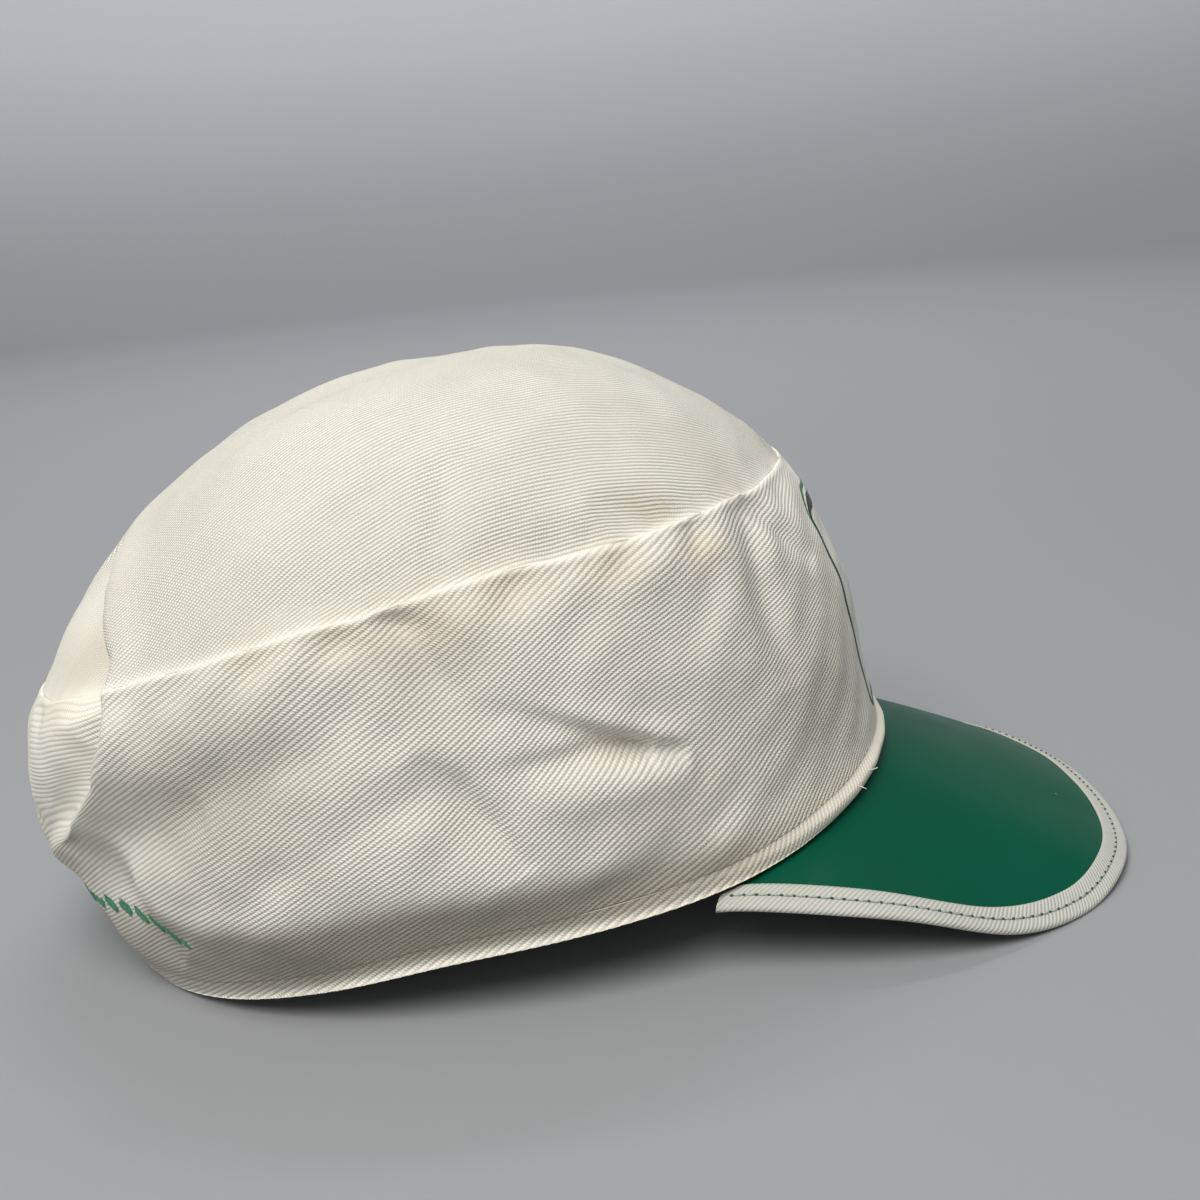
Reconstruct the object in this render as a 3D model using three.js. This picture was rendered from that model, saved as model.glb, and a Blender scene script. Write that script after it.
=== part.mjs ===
// Cadet cap in off-white cotton twill: a soft crown panel, a deep side band with a rolled hem,
// and a curved green peak bound in cotton tape.
// Millimetres, +X towards the peak, +Z up, the wearer's right on -Y.
// Shapes are worked out level on the head, then settled as the cap rests on a table:
// on the back of its hem and on the two lowest places of the peak.
import * as THREE from 'three';
import { mergeVertices } from 'three/addons/utils/BufferGeometryUtils.js';

// Wall thicknesses, and the clearance between neighbours
const clothWall = 1.6;
const peakWall = 1.2;
const tapeWall = 1.0;
const gap = 0.3;
const tapeGap = 0.4;

// Plan ovals: half length, half width, squareness of the curve, and how far back the middle lies
const hemOval = { halfLength: 100, halfWidth: 83.3, squareness: 2.15, back: 0 };
const seamOval = { halfLength: 100, halfWidth: 82.4, squareness: 2.12, back: 14.4 };
const frontNarrowing = 0.05;
const sideStretch = 1.2;

// Sections round the cap, one every 20 degrees from the front (0) to the back (180), alike on both
// sides: height of the hem, height of the seam between band and crown, how far the band bulges
// between them, and how far the rolled hem stands out
const sections = [
  { angle: 0, hemHeight: 16.4, seamHeight: 92.4, bulge: 5.8, hemRoll: 2.8 },
  { angle: 20, hemHeight: 14.6, seamHeight: 92.6, bulge: 5.0, hemRoll: 2.8 },
  { angle: 40, hemHeight: 10.6, seamHeight: 91.6, bulge: 4.0, hemRoll: 2.6 },
  { angle: 60, hemHeight: 6.2, seamHeight: 91.0, bulge: 3.2, hemRoll: 2.2 },
  { angle: 80, hemHeight: 4.4, seamHeight: 90.4, bulge: 3.0, hemRoll: 1.5 },
  { angle: 100, hemHeight: 2.8, seamHeight: 86.0, bulge: 4.0, hemRoll: 1.3 },
  { angle: 120, hemHeight: -2.2, seamHeight: 79.8, bulge: 6.2, hemRoll: 1.2 },
  { angle: 140, hemHeight: -6.2, seamHeight: 73.2, bulge: 9.4, hemRoll: 1.2 },
  { angle: 160, hemHeight: -8.4, seamHeight: 67.5, bulge: 12.8, hemRoll: 1.2 },
  { angle: 180, hemHeight: -9.0, seamHeight: 65.7, bulge: 14.0, hemRoll: 1.2 },
];

// Crown panel: a dome that rises from the seam to its middle
const crownMiddle = { x: -17.9, z: 83.1 };
const crownRise = 44.3;
const crownFullness = 3.03;
const crownShoulder = { base: 1.16, lengthwise: -0.03, crosswise: -0.06 };

// Folds and dents. Each follows a path of [angle, level]: the angle round the cap, negative on the
// wearer's right, and the level, -1 at the hem, 0 at the seam and 1 at the middle of the crown.
// depth is how far the cloth sinks, width how fast the fold fades sideways, and lip how far the
// cloth stands up along the left of the path, lipPlace widths from it
const folds = [
  {
    name: 'rear fold', depth: 10, width: 7, lip: 2.6,
    path: [
      [-171, 0.32], [-158, 0.2], [-145.8, 0.1], [-136.4, 0],
      [-136.6, -0.1], [-140.6, -0.2], [-150.5, -0.32], [-166.5, -0.48],
    ],
  },
  {
    name: 'front corner', depth: 3, width: 6, lip: 0,
    path: [[-36, 0.02], [-31, -0.16], [-33, -0.3], [-39, -0.5]],
  },
  { name: 'side crease', depth: 3, width: 5, lip: 1, path: [[-87, -0.29], [-73, -0.42], [-61, -0.56]] },
  { name: 'middle dent', depth: 2, width: 7, lip: 0, path: [[-92, 0], [-89, -0.2], [-85, -0.38]] },
  { name: 'low back dent', depth: 3, width: 9, lip: 0, path: [[-156, -0.66], [-141, -0.48], [-122, -0.4]] },
  { name: 'left rear fold', depth: 3.5, width: 9, lip: 0, path: [[156, 0.22], [146, 0], [154, -0.4]] },
  { name: 'left side crease', depth: 2, width: 7, lip: 0, path: [[62, -0.18], [80, -0.4], [100, -0.52]] },
];
const lipPlace = 1.6;
const fadeSharpness = 0.6;

// Mean size of a degree and of a level on the cloth, and the point that the folds push away from
const mmPerDegree = 1.6;
const mmPerLevel = 80;
const foldCentre = new THREE.Vector3(-15, 0, 45);

// Rolled hem: how far up the band it reaches, and its roundness from the lower edge upwards
const hemReach = 4.5;
const hemProfile = [
  { up: 0, out: 0.55, leastHeight: 0 },
  { up: 1.1, out: 1.0, leastHeight: 0.6 },
  { up: 3.2, out: 0.95, leastHeight: 1.9 },
  { up: hemReach, out: 0.35, leastHeight: 2.9 },
];

// Peak: plan curve of its bound edge from the middle (along 0) to a corner (along 1), and the
// height of that edge at equal steps along
const peakReach = 163.2;
const peakHalfWidth = 88.5;
const peakSquareness = 2.65;
const peakCornerTuck = { share: 0.13, sharpness: 7 };
const peakCornerAngle = 64;
const peakEdgeHeights = [-18.2, -19.4, -18.9, -19.5, -15.8, -4.6, 3.2];
const peakCrown = { middle: 0.5, side: 2.8, cornerSharpness: 6 };
const peakRootTuck = 1.0;
const peakRootDrop = { middle: 0.4, corner: 2.3, sharpness: 8 };
const leastTapeDepth = 0.08;
const tapeWidth = 7;
const tapeFoldEase = 0.1;

// How the level cap settles on the table: nose up by the pitch, then raised and centred
const rest = { pitch: 3.3, lift: 13.5, forward: -20.1 };

// Mesh steps: degrees round the cap, finer across the rear fold, and points along each wall
const coarseStep = 5;
const fineStep = 1.8;
const fineSpan = [-170, -125];
const bandSteps = 13;
const crownRadii = [1, 0.93, 0.85, 0.75, 0.6, 0.35, 0];
const peakSteps = 40;
const peakDepthSteps = 5;

const twill = new THREE.MeshStandardMaterial({ color: 0xd6d3c8, roughness: 0.92, metalness: 0 });
const greenSheet = new THREE.MeshStandardMaterial({ color: 0x0b4a39, roughness: 0.28, metalness: 0 });
const tape = new THREE.MeshStandardMaterial({ color: 0xd3d3c9, roughness: 0.9, metalness: 0 });

// Levels that belong to the band and to the crown, and the step used to find slopes
const bandLevels = [-1, -0.001];
const crownLevels = [0.001, 1];
const smallStep = 0.01;
const mergeDistance = 0.001;

const radians = THREE.MathUtils.degToRad;
const clamp = THREE.MathUtils.clamp;
const lerp = THREE.MathUtils.lerp;

// Smooth curve through four neighbouring values
function smoothBetween(before, start, end, after, t) {
  const bend = (2 * before - 5 * start + 4 * end - after) * t * t;
  const twist = (3 * start - before - 3 * end + after) * t * t * t;
  return 0.5 * (2 * start + (end - before) * t + bend + twist);
}

// Value of one column of the sections at any angle, mirrored at the front and the back
function sectionValue(column, angle) {
  const last = sections.length - 1;
  const turned = Math.abs(((angle + 540) % 360) - 180);
  const place = turned / sections[1].angle;
  const index = Math.min(Math.floor(place), last - 1);
  const mirrored = (i) => sections[i < 0 ? -i : i > last ? 2 * last - i : i][column];
  const [before, start, end, after] = [index - 1, index, index + 1, index + 2].map(mirrored);
  return smoothBetween(before, start, end, after, place - index);
}

// Superellipse, a little narrower towards the front
function ovalPoint(oval, angle, height) {
  const c = Math.cos(radians(angle));
  const s = Math.sin(radians(angle));
  const power = 2 / oval.squareness;
  const x = oval.halfLength * Math.sign(c) * Math.abs(c) ** power;
  const y = oval.halfWidth * Math.sign(s) * Math.abs(s) ** power;
  return new THREE.Vector3(x - oval.back, y * (1 - (frontNarrowing * x) / oval.halfLength), height);
}

function outwardAt(angle) {
  return new THREE.Vector3(Math.cos(radians(angle)), sideStretch * Math.sin(radians(angle)), 0).normalize();
}

function smoothBand(angle, t) {
  const hem = ovalPoint(hemOval, angle, sectionValue('hemHeight', angle));
  const seam = ovalPoint(seamOval, angle, sectionValue('seamHeight', angle));
  const bulge = sectionValue('bulge', angle) * 4 * t * (1 - t);
  return hem.lerp(seam, t).addScaledVector(outwardAt(angle), bulge);
}

function smoothCrown(angle, radius) {
  const seam = ovalPoint(seamOval, angle, sectionValue('seamHeight', angle));
  const point = new THREE.Vector3(crownMiddle.x, 0, crownMiddle.z).lerp(seam, radius);
  const turn = radians(angle);
  const { base, lengthwise, crosswise } = crownShoulder;
  const shoulder = base + lengthwise * Math.cos(turn) + crosswise * Math.cos(2 * turn);
  point.z += crownRise * (1 - radius ** crownFullness) ** shoulder;
  return point;
}

// Distance in millimetres from a place on the cloth to a fold's path, positive to its left, and how
// far along the path the nearest place lies, 0 at its start and 1 at its end
function nearestOnFold(path, angle, level) {
  let nearest = Infinity;
  let signed = 0;
  let along = 0;
  const spans = path.length - 1;
  for (let i = 0; i < spans; i += 1) {
    const [startAngle, startLevel] = path[i];
    const runX = (path[i + 1][0] - startAngle) * mmPerDegree;
    const runY = (path[i + 1][1] - startLevel) * mmPerLevel;
    const x = (((angle - startAngle + 540) % 360) - 180) * mmPerDegree;
    const y = (level - startLevel) * mmPerLevel;
    const t = clamp((runX * x + runY * y) / (runX ** 2 + runY ** 2), 0, 1);
    const distance = Math.hypot(x - t * runX, y - t * runY);
    if (distance < nearest) {
      nearest = distance;
      signed = distance * Math.sign(runX * y - runY * x);
      along = (i + t) / spans;
    }
  }
  return { signed, along };
}

// How far the folds push the cloth out (in where negative); each fades out towards its two ends
function foldOffset(angle, level) {
  let offset = 0;
  for (const fold of folds) {
    const { signed, along } = nearestOnFold(fold.path, angle, level);
    const across = signed / fold.width;
    const fade = Math.sin(Math.PI * along) ** fadeSharpness;
    offset -= fade * fold.depth * Math.exp(-(across ** 2));
    offset += fade * fold.lip * Math.exp(-((across - lipPlace) ** 2));
  }
  return offset;
}

// Outer face of the cloth at any angle and level
function clothPoint(angle, level) {
  const point = level < 0 ? smoothBand(angle, level + 1) : smoothCrown(angle, 1 - level);
  const direction = point.clone().sub(foldCentre).normalize();
  return point.addScaledVector(direction, foldOffset(angle, level));
}

function clothNormal(angle, level, lowest, highest) {
  const above = clothPoint(angle, Math.min(level + smallStep, highest));
  const up = above.sub(clothPoint(angle, Math.max(level - smallStep, lowest)));
  const round = clothPoint(angle + 1, level).sub(clothPoint(angle - 1, level));
  return round.cross(up).normalize();
}

// Inner corner of the wall at the seam, shared by the band and the crown so that they meet in a mitre
function seamMitre(angle) {
  const bandNormal = clothNormal(angle, -smallStep, ...bandLevels);
  const crownNormal = clothNormal(angle, smallStep, ...crownLevels);
  const halfWay = bandNormal.clone().add(crownNormal).normalize();
  return halfWay.multiplyScalar(-clothWall / halfWay.dot(bandNormal));
}

// The level cap, laid on the table
function settle(point) {
  const c = Math.cos(radians(rest.pitch));
  const s = Math.sin(radians(rest.pitch));
  return new THREE.Vector3(
    point.x * c - point.z * s + rest.forward,
    point.y,
    point.x * s + point.z * c + rest.lift,
  );
}

function settleAbove(point, leastHeight) {
  const settled = settle(point);
  settled.z = Math.max(settled.z, leastHeight);
  return settled;
}

// Closed mesh between a grid of outer points and a grid of inner points, [section][point].
// A ring joins its last section to its first; an open strip gets two end faces, and its left half
// is cut into triangles as a mirror image of its right half
function wallMesh(name, material, outer, inner, isRing) {
  const positions = [...outer, ...inner].flat().flatMap((point) => point.toArray());
  const pointCount = outer[0].length;
  const sectionCount = outer.length;
  const column = (side, section) => side * sectionCount + (section % sectionCount);
  const vertex = (side, section, point) => column(side, section) * pointCount + point;
  const triangles = [];
  const spans = isRing ? sectionCount : sectionCount - 1;
  let isMirrored = false;
  const quad = (a, b, c, d) => triangles.push(...(isMirrored ? [a, b, d, b, c, d] : [a, b, c, a, c, d]));
  for (let i = 0; i < spans; i += 1) {
    isMirrored = !isRing && i >= spans / 2;
    for (let j = 0; j < pointCount - 1; j += 1) {
      quad(vertex(0, i, j), vertex(0, i + 1, j), vertex(0, i + 1, j + 1), vertex(0, i, j + 1));
      quad(vertex(1, i, j), vertex(1, i, j + 1), vertex(1, i + 1, j + 1), vertex(1, i + 1, j));
    }
    const last = pointCount - 1;
    quad(vertex(1, i, 0), vertex(1, i + 1, 0), vertex(0, i + 1, 0), vertex(0, i, 0));
    quad(vertex(0, i, last), vertex(0, i + 1, last), vertex(1, i + 1, last), vertex(1, i, last));
  }
  if (!isRing) {
    const end = sectionCount - 1;
    for (let j = 0; j < pointCount - 1; j += 1) {
      quad(vertex(1, 0, j), vertex(0, 0, j), vertex(0, 0, j + 1), vertex(1, 0, j + 1));
      quad(vertex(0, end, j), vertex(1, end, j), vertex(1, end, j + 1), vertex(0, end, j + 1));
    }
  }
  const loose = new THREE.BufferGeometry();
  loose.setAttribute('position', new THREE.Float32BufferAttribute(positions, 3));
  loose.setIndex(triangles);
  const geometry = mergeVertices(loose, mergeDistance);
  const kept = [];
  const index = geometry.getIndex();
  for (let i = 0; i < index.count; i += 3) {
    const corners = [index.getX(i), index.getX(i + 1), index.getX(i + 2)];
    if (new Set(corners).size === 3) {
      kept.push(...corners);
    }
  }
  geometry.setIndex(kept);
  geometry.computeVertexNormals();
  const mesh = new THREE.Mesh(geometry, material);
  mesh.name = name;
  return mesh;
}

function anglesRoundCap() {
  const angles = [];
  for (let angle = -180; angle < 180;) {
    angles.push(angle);
    angle += angle >= fineSpan[0] && angle < fineSpan[1] ? fineStep : coarseStep;
  }
  return angles;
}

// Level of a point that lies this far up the band from the hem
function levelAbove(angle, up) {
  return -1 + up / (sectionValue('seamHeight', angle) - sectionValue('hemHeight', angle));
}

// Closed ring of cloth; placeWall gives the wall's outer and inner point at an angle and a row
function ringOfCloth(name, rows, placeWall) {
  const outer = [];
  const inner = [];
  for (const angle of anglesRoundCap()) {
    const walls = rows.map((row) => placeWall(angle, row));
    outer.push(walls.map((wall) => wall[0]));
    inner.push(walls.map((wall) => wall[1]));
  }
  return wallMesh(name, twill, outer, inner, true);
}

function makeSideBand() {
  const rows = Array.from({ length: bandSteps + 1 }, (_, row) => row);
  return ringOfCloth('side_band', rows, (angle, row) => {
    const lowest = levelAbove(angle, hemReach + gap);
    const highest = -gap / 2 / mmPerLevel;
    const level = lerp(lowest, highest, row / bandSteps);
    const point = clothPoint(angle, level);
    let inward = clothNormal(angle, level, ...bandLevels).multiplyScalar(-clothWall);
    if (row === bandSteps) {
      inward = seamMitre(angle);
    } else if (row === 0) {
      inward = outwardAt(angle).multiplyScalar(-clothWall);
    }
    return [settle(point), settle(inward.add(point))];
  });
}

function makeCrownTop() {
  return ringOfCloth('crown_top', crownRadii, (angle, radius) => {
    const level = Math.max(1 - radius, gap / mmPerLevel);
    const point = clothPoint(angle, level);
    let inward = clothNormal(angle, level, ...crownLevels).multiplyScalar(-clothWall);
    if (radius === 1) {
      inward = seamMitre(angle);
    } else if (radius === 0) {
      inward = new THREE.Vector3(0, 0, -clothWall);
    }
    return [settle(point), settle(inward.add(point))];
  });
}

function makeHemRoll() {
  return ringOfCloth('hem_roll', hemProfile, (angle, { up, out, leastHeight }) => {
    const point = clothPoint(angle, levelAbove(angle, up));
    const outward = outwardAt(angle);
    const face = point.clone().addScaledVector(outward, out * sectionValue('hemRoll', angle));
    const back = point.clone().addScaledVector(outward, -clothWall);
    return [settleAbove(face, leastHeight), settleAbove(back, leastHeight)];
  });
}

// Bound edge of the peak; along runs from -1 at the right corner to 1 at the left
function peakEdge(along) {
  const turn = (along * Math.PI) / 2;
  const power = 2 / peakSquareness;
  const cornerX = hemOval.halfLength * Math.cos(radians(peakCornerAngle));
  const x = cornerX + (peakReach - cornerX) * Math.abs(Math.cos(turn)) ** power;
  const tuck = 1 - peakCornerTuck.share * Math.abs(along) ** peakCornerTuck.sharpness;
  const y = peakHalfWidth * Math.sign(along) * Math.abs(Math.sin(turn)) ** power * tuck;
  const last = peakEdgeHeights.length - 1;
  const place = Math.abs(along) * last;
  const index = Math.min(Math.floor(place), last - 1);
  const beyondCorner = 2 * peakEdgeHeights[last] - peakEdgeHeights[last - 1];
  const height = (i) => (i > last ? beyondCorner : peakEdgeHeights[Math.abs(i)]);
  const [before, start, end, after] = [index - 1, index, index + 1, index + 2].map(height);
  return new THREE.Vector3(x, y, smoothBetween(before, start, end, after, place - index));
}

// Line under the hem where the peak is sewn in
function peakRoot(along) {
  const angle = along * peakCornerAngle;
  const root = clothPoint(angle, -1).addScaledVector(outwardAt(angle), -peakRootTuck);
  root.z -= lerp(peakRootDrop.middle, peakRootDrop.corner, along ** peakRootDrop.sharpness);
  return root;
}

// Top face of the peak, from its root (depth 0) to its bound edge (depth 1)
function peakPoint(along, depth) {
  const point = peakRoot(along).lerp(peakEdge(along), depth);
  const fade = 1 - along ** peakCrown.cornerSharpness;
  const crown = lerp(peakCrown.middle, peakCrown.side, along ** 2) * fade;
  point.z += crown * 4 * depth * (1 - depth);
  return point;
}

function peakNormal(along, depth) {
  const across = peakPoint(Math.min(along + smallStep, 1), depth);
  across.sub(peakPoint(Math.max(along - smallStep, -1), depth));
  const inward = peakPoint(along, Math.max(depth - smallStep, 0));
  inward.sub(peakPoint(along, Math.min(depth + smallStep, 1)));
  return across.cross(inward).normalize();
}

// Depth at which the peak is a given distance in from its bound edge, square to that edge
function depthInside(along, inset) {
  const run = peakPoint(along, 1).sub(peakPoint(along, 0));
  const tangent = peakEdge(Math.min(along + smallStep, 1));
  tangent.sub(peakEdge(Math.max(along - smallStep, -1))).normalize();
  const squareness = run.clone().normalize().cross(tangent).length();
  return Math.max(1 - inset / squareness / run.length(), leastTapeDepth);
}

function makePeak() {
  const top = [];
  const bottom = [];
  for (let i = 0; i <= peakSteps; i += 1) {
    const along = -1 + (2 * i) / peakSteps;
    const edge = depthInside(along, tapeGap + tapeWall);
    const topLine = [];
    const bottomLine = [];
    for (let j = 0; j <= peakDepthSteps; j += 1) {
      const depth = edge * (1 - j / peakDepthSteps);
      const point = peakPoint(along, depth);
      topLine.push(settle(point));
      bottomLine.push(settle(point.clone().addScaledVector(peakNormal(along, depth), -peakWall)));
    }
    top.push(topLine);
    bottom.push(bottomLine);
  }
  return wallMesh('peak', greenSheet, top, bottom, false);
}

// Tape folded over the edge of the peak: a U of cloth from its under side, round the edge, to the top
function makePeakBinding() {
  const outer = [];
  const inner = [];
  const below = -peakWall - tapeGap;
  for (let i = 0; i <= peakSteps; i += 1) {
    const along = -1 + (2 * i) / peakSteps;
    const at = (inset, height) => {
      const depth = depthInside(along, inset);
      return settleAbove(peakPoint(along, depth).addScaledVector(peakNormal(along, depth), height), 0);
    };
    const round = tapeWall / 2;
    outer.push([
      at(tapeWidth, below - tapeWall),
      at(tapeWidth / 2, below - tapeWall),
      at(round, below - tapeWall),
      at(0, below - round),
      at(0, tapeGap + round),
      at(round, tapeGap + tapeWall),
      at(tapeWidth / 2, tapeGap + tapeWall),
      at(tapeWidth, tapeGap + tapeWall),
    ]);
    inner.push([
      at(tapeWidth, below),
      at(tapeWidth / 2, below),
      at(tapeWall + tapeFoldEase, below),
      at(tapeWall, below + tapeFoldEase),
      at(tapeWall, tapeGap - tapeFoldEase),
      at(tapeWall + tapeFoldEase, tapeGap),
      at(tapeWidth / 2, tapeGap),
      at(tapeWidth, tapeGap),
    ]);
  }
  return wallMesh('peak_binding', tape, outer, inner, false);
}

const cap = new THREE.Group();
cap.add(makeCrownTop());
cap.add(makeSideBand());
cap.add(makeHemRoll());
cap.add(makePeak());
cap.add(makePeakBinding());

export default cap;
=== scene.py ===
# Cadet cap in off-white twill with a green peak: cloth, vinyl sheet, tape and thread.
# Shapes are worked out in millimetres on the level cap, then laid on the table in metres,
# the way the solids are.
import math

import bmesh
import bpy
import numpy as np
from mathutils import Matrix, Vector


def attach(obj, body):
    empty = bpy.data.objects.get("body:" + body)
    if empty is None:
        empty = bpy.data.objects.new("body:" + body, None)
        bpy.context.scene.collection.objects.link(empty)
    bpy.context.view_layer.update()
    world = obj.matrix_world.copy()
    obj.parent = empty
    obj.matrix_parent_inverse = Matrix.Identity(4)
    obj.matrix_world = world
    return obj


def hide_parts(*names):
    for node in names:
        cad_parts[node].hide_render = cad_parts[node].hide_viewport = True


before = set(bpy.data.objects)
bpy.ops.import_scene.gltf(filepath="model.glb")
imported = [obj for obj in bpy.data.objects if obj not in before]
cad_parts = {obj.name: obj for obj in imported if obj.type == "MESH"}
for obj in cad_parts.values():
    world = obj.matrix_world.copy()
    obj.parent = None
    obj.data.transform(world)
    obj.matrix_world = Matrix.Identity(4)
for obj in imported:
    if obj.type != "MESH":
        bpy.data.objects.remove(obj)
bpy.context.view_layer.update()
scene = bpy.context.scene
scene.view_settings.view_transform = "Standard"
print("frame loaded:", ", ".join(sorted(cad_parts)))

# The cap's form, as in the part: one value every 20 degrees from the front (0) to the back (180)
capForm = {
    "hemOval": {"halfLength": 100, "halfWidth": 83.3, "squareness": 2.15, "back": 0},
    "seamOval": {"halfLength": 100, "halfWidth": 82.4, "squareness": 2.12, "back": 14.4},
    "frontNarrowing": 0.05,
    "sideStretch": 1.2,
    "hemHeight": [16.4, 14.6, 10.6, 6.2, 4.4, 2.8, -2.2, -6.2, -8.4, -9.0],
    "seamHeight": [92.4, 92.6, 91.6, 91.0, 90.4, 86.0, 79.8, 73.2, 67.5, 65.7],
    "bulge": [5.8, 5.0, 4.0, 3.2, 3.0, 4.0, 6.2, 9.4, 12.8, 14.0],
    "hemRoll": [2.8, 2.8, 2.6, 2.2, 1.5, 1.3, 1.2, 1.2, 1.2, 1.2],
    "crownMiddle": (-17.9, 83.1),
    "crownRise": 44.3,
    "crownFullness": 3.03,
    "crownShoulder": {"base": 1.16, "lengthwise": -0.03, "crosswise": -0.06},
    "rest": {"pitch": 3.3, "lift": 13.5, "forward": -20.1},
}

# Folds that the solids have too: depth, width on the left and right of the path, lip on its left
mainFolds = [
    {
        "depth": 10.5, "left": 3.8, "right": 9, "lip": 2.9, "lipPlace": 6.4, "lipWidth": 4.6,
        "path": [
            (-171, 0.32), (-158, 0.2), (-145.8, 0.1), (-136.4, 0),
            (-136.6, -0.1), (-140.6, -0.2), (-150.5, -0.32), (-166.5, -0.48),
        ],
    },
    {
        "depth": 3.0, "left": 4.2, "right": 6.5,
        "path": [(-36, 0), (-38, -0.13), (-40.5, -0.3), (-42, -0.55)],
    },
    {
        "depth": 2.0, "left": 2.8, "right": 4.2,
        "path": [(-35, 0), (-31, -0.12), (-28, -0.2), (-25, -0.29)],
    },
    {"depth": 1.8, "left": 6, "right": 6, "path": [(-92, 0), (-89, -0.2), (-85, -0.38)]},
    {"depth": 2.2, "left": 9, "right": 9, "path": [(-156, -0.66), (-141, -0.48), (-122, -0.4)]},
    {"depth": 3.5, "left": 9, "right": 9, "path": [(156, 0.22), (146, 0), (154, -0.4)]},
    {"depth": 2.0, "left": 7, "right": 7, "path": [(62, -0.18), (80, -0.4), (100, -0.52)]},
]

# Small creases that only the cloth has
fineFolds = [
    {
        "depth": 3.2, "left": 1.5, "right": 3.6, "skew": 2.8,
        "lip": 1.0, "lipPlace": 3.3, "lipWidth": 2.7,
        "path": [
            (-88, -0.28), (-83, -0.33), (-79, -0.385), (-75.5, -0.432),
            (-72, -0.478), (-68, -0.53), (-62.5, -0.578),
        ],
    },
    {
        "depth": 2.2, "left": 4.2, "right": 2.2, "skew": 0.45,
        "path": [(-67, -0.535), (-73.5, -0.5), (-77, -0.495), (-81, -0.49), (-88, -0.475)],
    },
    {"depth": -1.4, "left": 5, "right": 5, "path": [(-62, -0.63), (-72, -0.62), (-84, -0.61)]},
    {
        "depth": 2.7, "left": 2.6, "right": 6.5,
        "path": [(-93.5, -0.38), (-91, -0.49), (-90, -0.57), (-89, -0.65), (-87, -0.77)],
    },
    {
        "depth": 3.6, "left": 9, "right": 10,
        "path": [(-158, -0.34), (-152, -0.46), (-147, -0.6), (-142, -0.74), (-138, -0.84)],
    },
    {
        "depth": 3.6, "left": 11, "right": 12,
        "path": [(-212, -0.66), (-190, -0.66), (-165, -0.66), (-140, -0.62)],
    },
    {
        "depth": 0.9, "left": 4, "right": 6,
        "path": [(-92, -0.47), (-98, -0.5), (-107, -0.56), (-125, -0.67)],
    },
    {
        "depth": 3.0, "left": 9, "right": 7,
        "path": [(-154, -0.54), (-141, -0.45), (-129, -0.39), (-118, -0.34), (-106, -0.3), (-95, -0.27)],
    },
    {
        "depth": 1.4, "left": 5, "right": 5,
        "path": [(-84, -0.92), (-75, -0.88), (-66, -0.83), (-54, -0.72)],
    },
    {
        "depth": 1.1, "left": 2.0, "right": 3.0,
        "path": [(-93, 0.02), (-90.5, -0.06), (-89, -0.15), (-88, -0.27)],
    },
    {"depth": 1.2, "left": 4, "right": 4, "path": [(-79, 0.28), (-83, 0.14), (-85.5, 0.03)]},
    {"depth": 0.5, "left": 4, "right": 4, "path": [(-90, 0.3), (-91, 0.15), (-92, 0.03)]},
    {"depth": 1.2, "left": 3, "right": 3, "path": [(-62, 0.09), (-54.5, 0.05), (-47, -0.02)]},
    {"depth": 0.9, "left": 5, "right": 5, "path": [(-48, -0.1), (-53, -0.24), (-60, -0.33)]},
    {"depth": 0.7, "left": 5, "right": 5, "path": [(-104, -0.06), (-101, -0.22), (-96, -0.36)]},
    {"depth": -1.2, "left": 6, "right": 7, "path": [(-66, -0.02), (-61, -0.09), (-55, -0.06)]},
    {"depth": 1.2, "left": 3, "right": 5, "path": [(36, 0.02), (39, -0.16), (43, -0.4)]},
    {"depth": 1.3, "left": 3, "right": 4, "path": [(92, -0.5), (76, -0.44), (62, -0.56)]},
    {"depth": 1.2, "left": 5, "right": 4, "path": [(120, -0.04), (112, -0.3), (104, -0.46)]},
    {"depth": 1.1, "left": 5, "right": 4, "path": [(178, -0.12), (172, -0.3), (160, -0.4)]},
]

clothLook = {
    "columns": 640,            # points round the cap
    "bandRows": 97,
    "crownRows": 88,
    "hemRows": 18,
    "wall": 1.6,               # thickness of the cloth and its seam allowance, mm
    "bandCrowding": 0.55,      # how much closer the rows lie at the seam and the hem
    "crownCrowding": 1.25,
    "ripples": [(46, 0.25, 5), (24, 0.10, 7), (12, 0.05, 8)],   # wavelength, height, how many
    "rippleSeed": 11,
    "innerTone": (0.15, 0.0, 0.7),
    "plainTone": (0.0, 0.0, 1.0),
}

# Puckers gathered under the seam: angle, depth, half width along the seam, slant
puckers = [
    (-48.5, 1.1, 4.2, 0.5), (-62.5, 1.0, 4.6, 0.7), (-77, 1.0, 3.8, 0.4), (-90, 1.2, 3.0, -0.5),
    (-98, 0.8, 3.6, 0.5), (-109, 0.8, 4.4, 0.6), (-121, 0.7, 4.0, 0.5), (-131, 0.6, 3.6, 0.5),
    (-24, 0.35, 4.0, 0.3), (-8, 0.5, 4.4, 0.2), (9, 0.7, 4.0, -0.2), (23, 0.7, 3.8, -0.3),
    (37, 1.2, 4.2, -0.5), (50, 0.9, 3.6, 0.4), (64, 1.1, 4.4, -0.5), (79, 0.9, 3.8, 0.5),
    (93, 1.0, 4.6, -0.4), (106, 0.8, 3.6, 0.5), (120, 0.9, 4.2, -0.5), (133, 0.7, 3.8, 0.4),
    (164, 0.8, 4.4, -0.4), (-176, 0.7, 4.0, 0.4), (-160, 0.7, 3.6, -0.3),
]
# Place and reach of each pucker and of the pillows beside it, in mm below the seam. The slant
# turns about the pivot, and a pillow's height is a share of the pucker's depth
puckerForm = {"pivot": 4, "place": 4.5, "reach": 4, "pillow": 0.35, "pillowPlace": 5, "pillowReach": 5}

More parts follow.
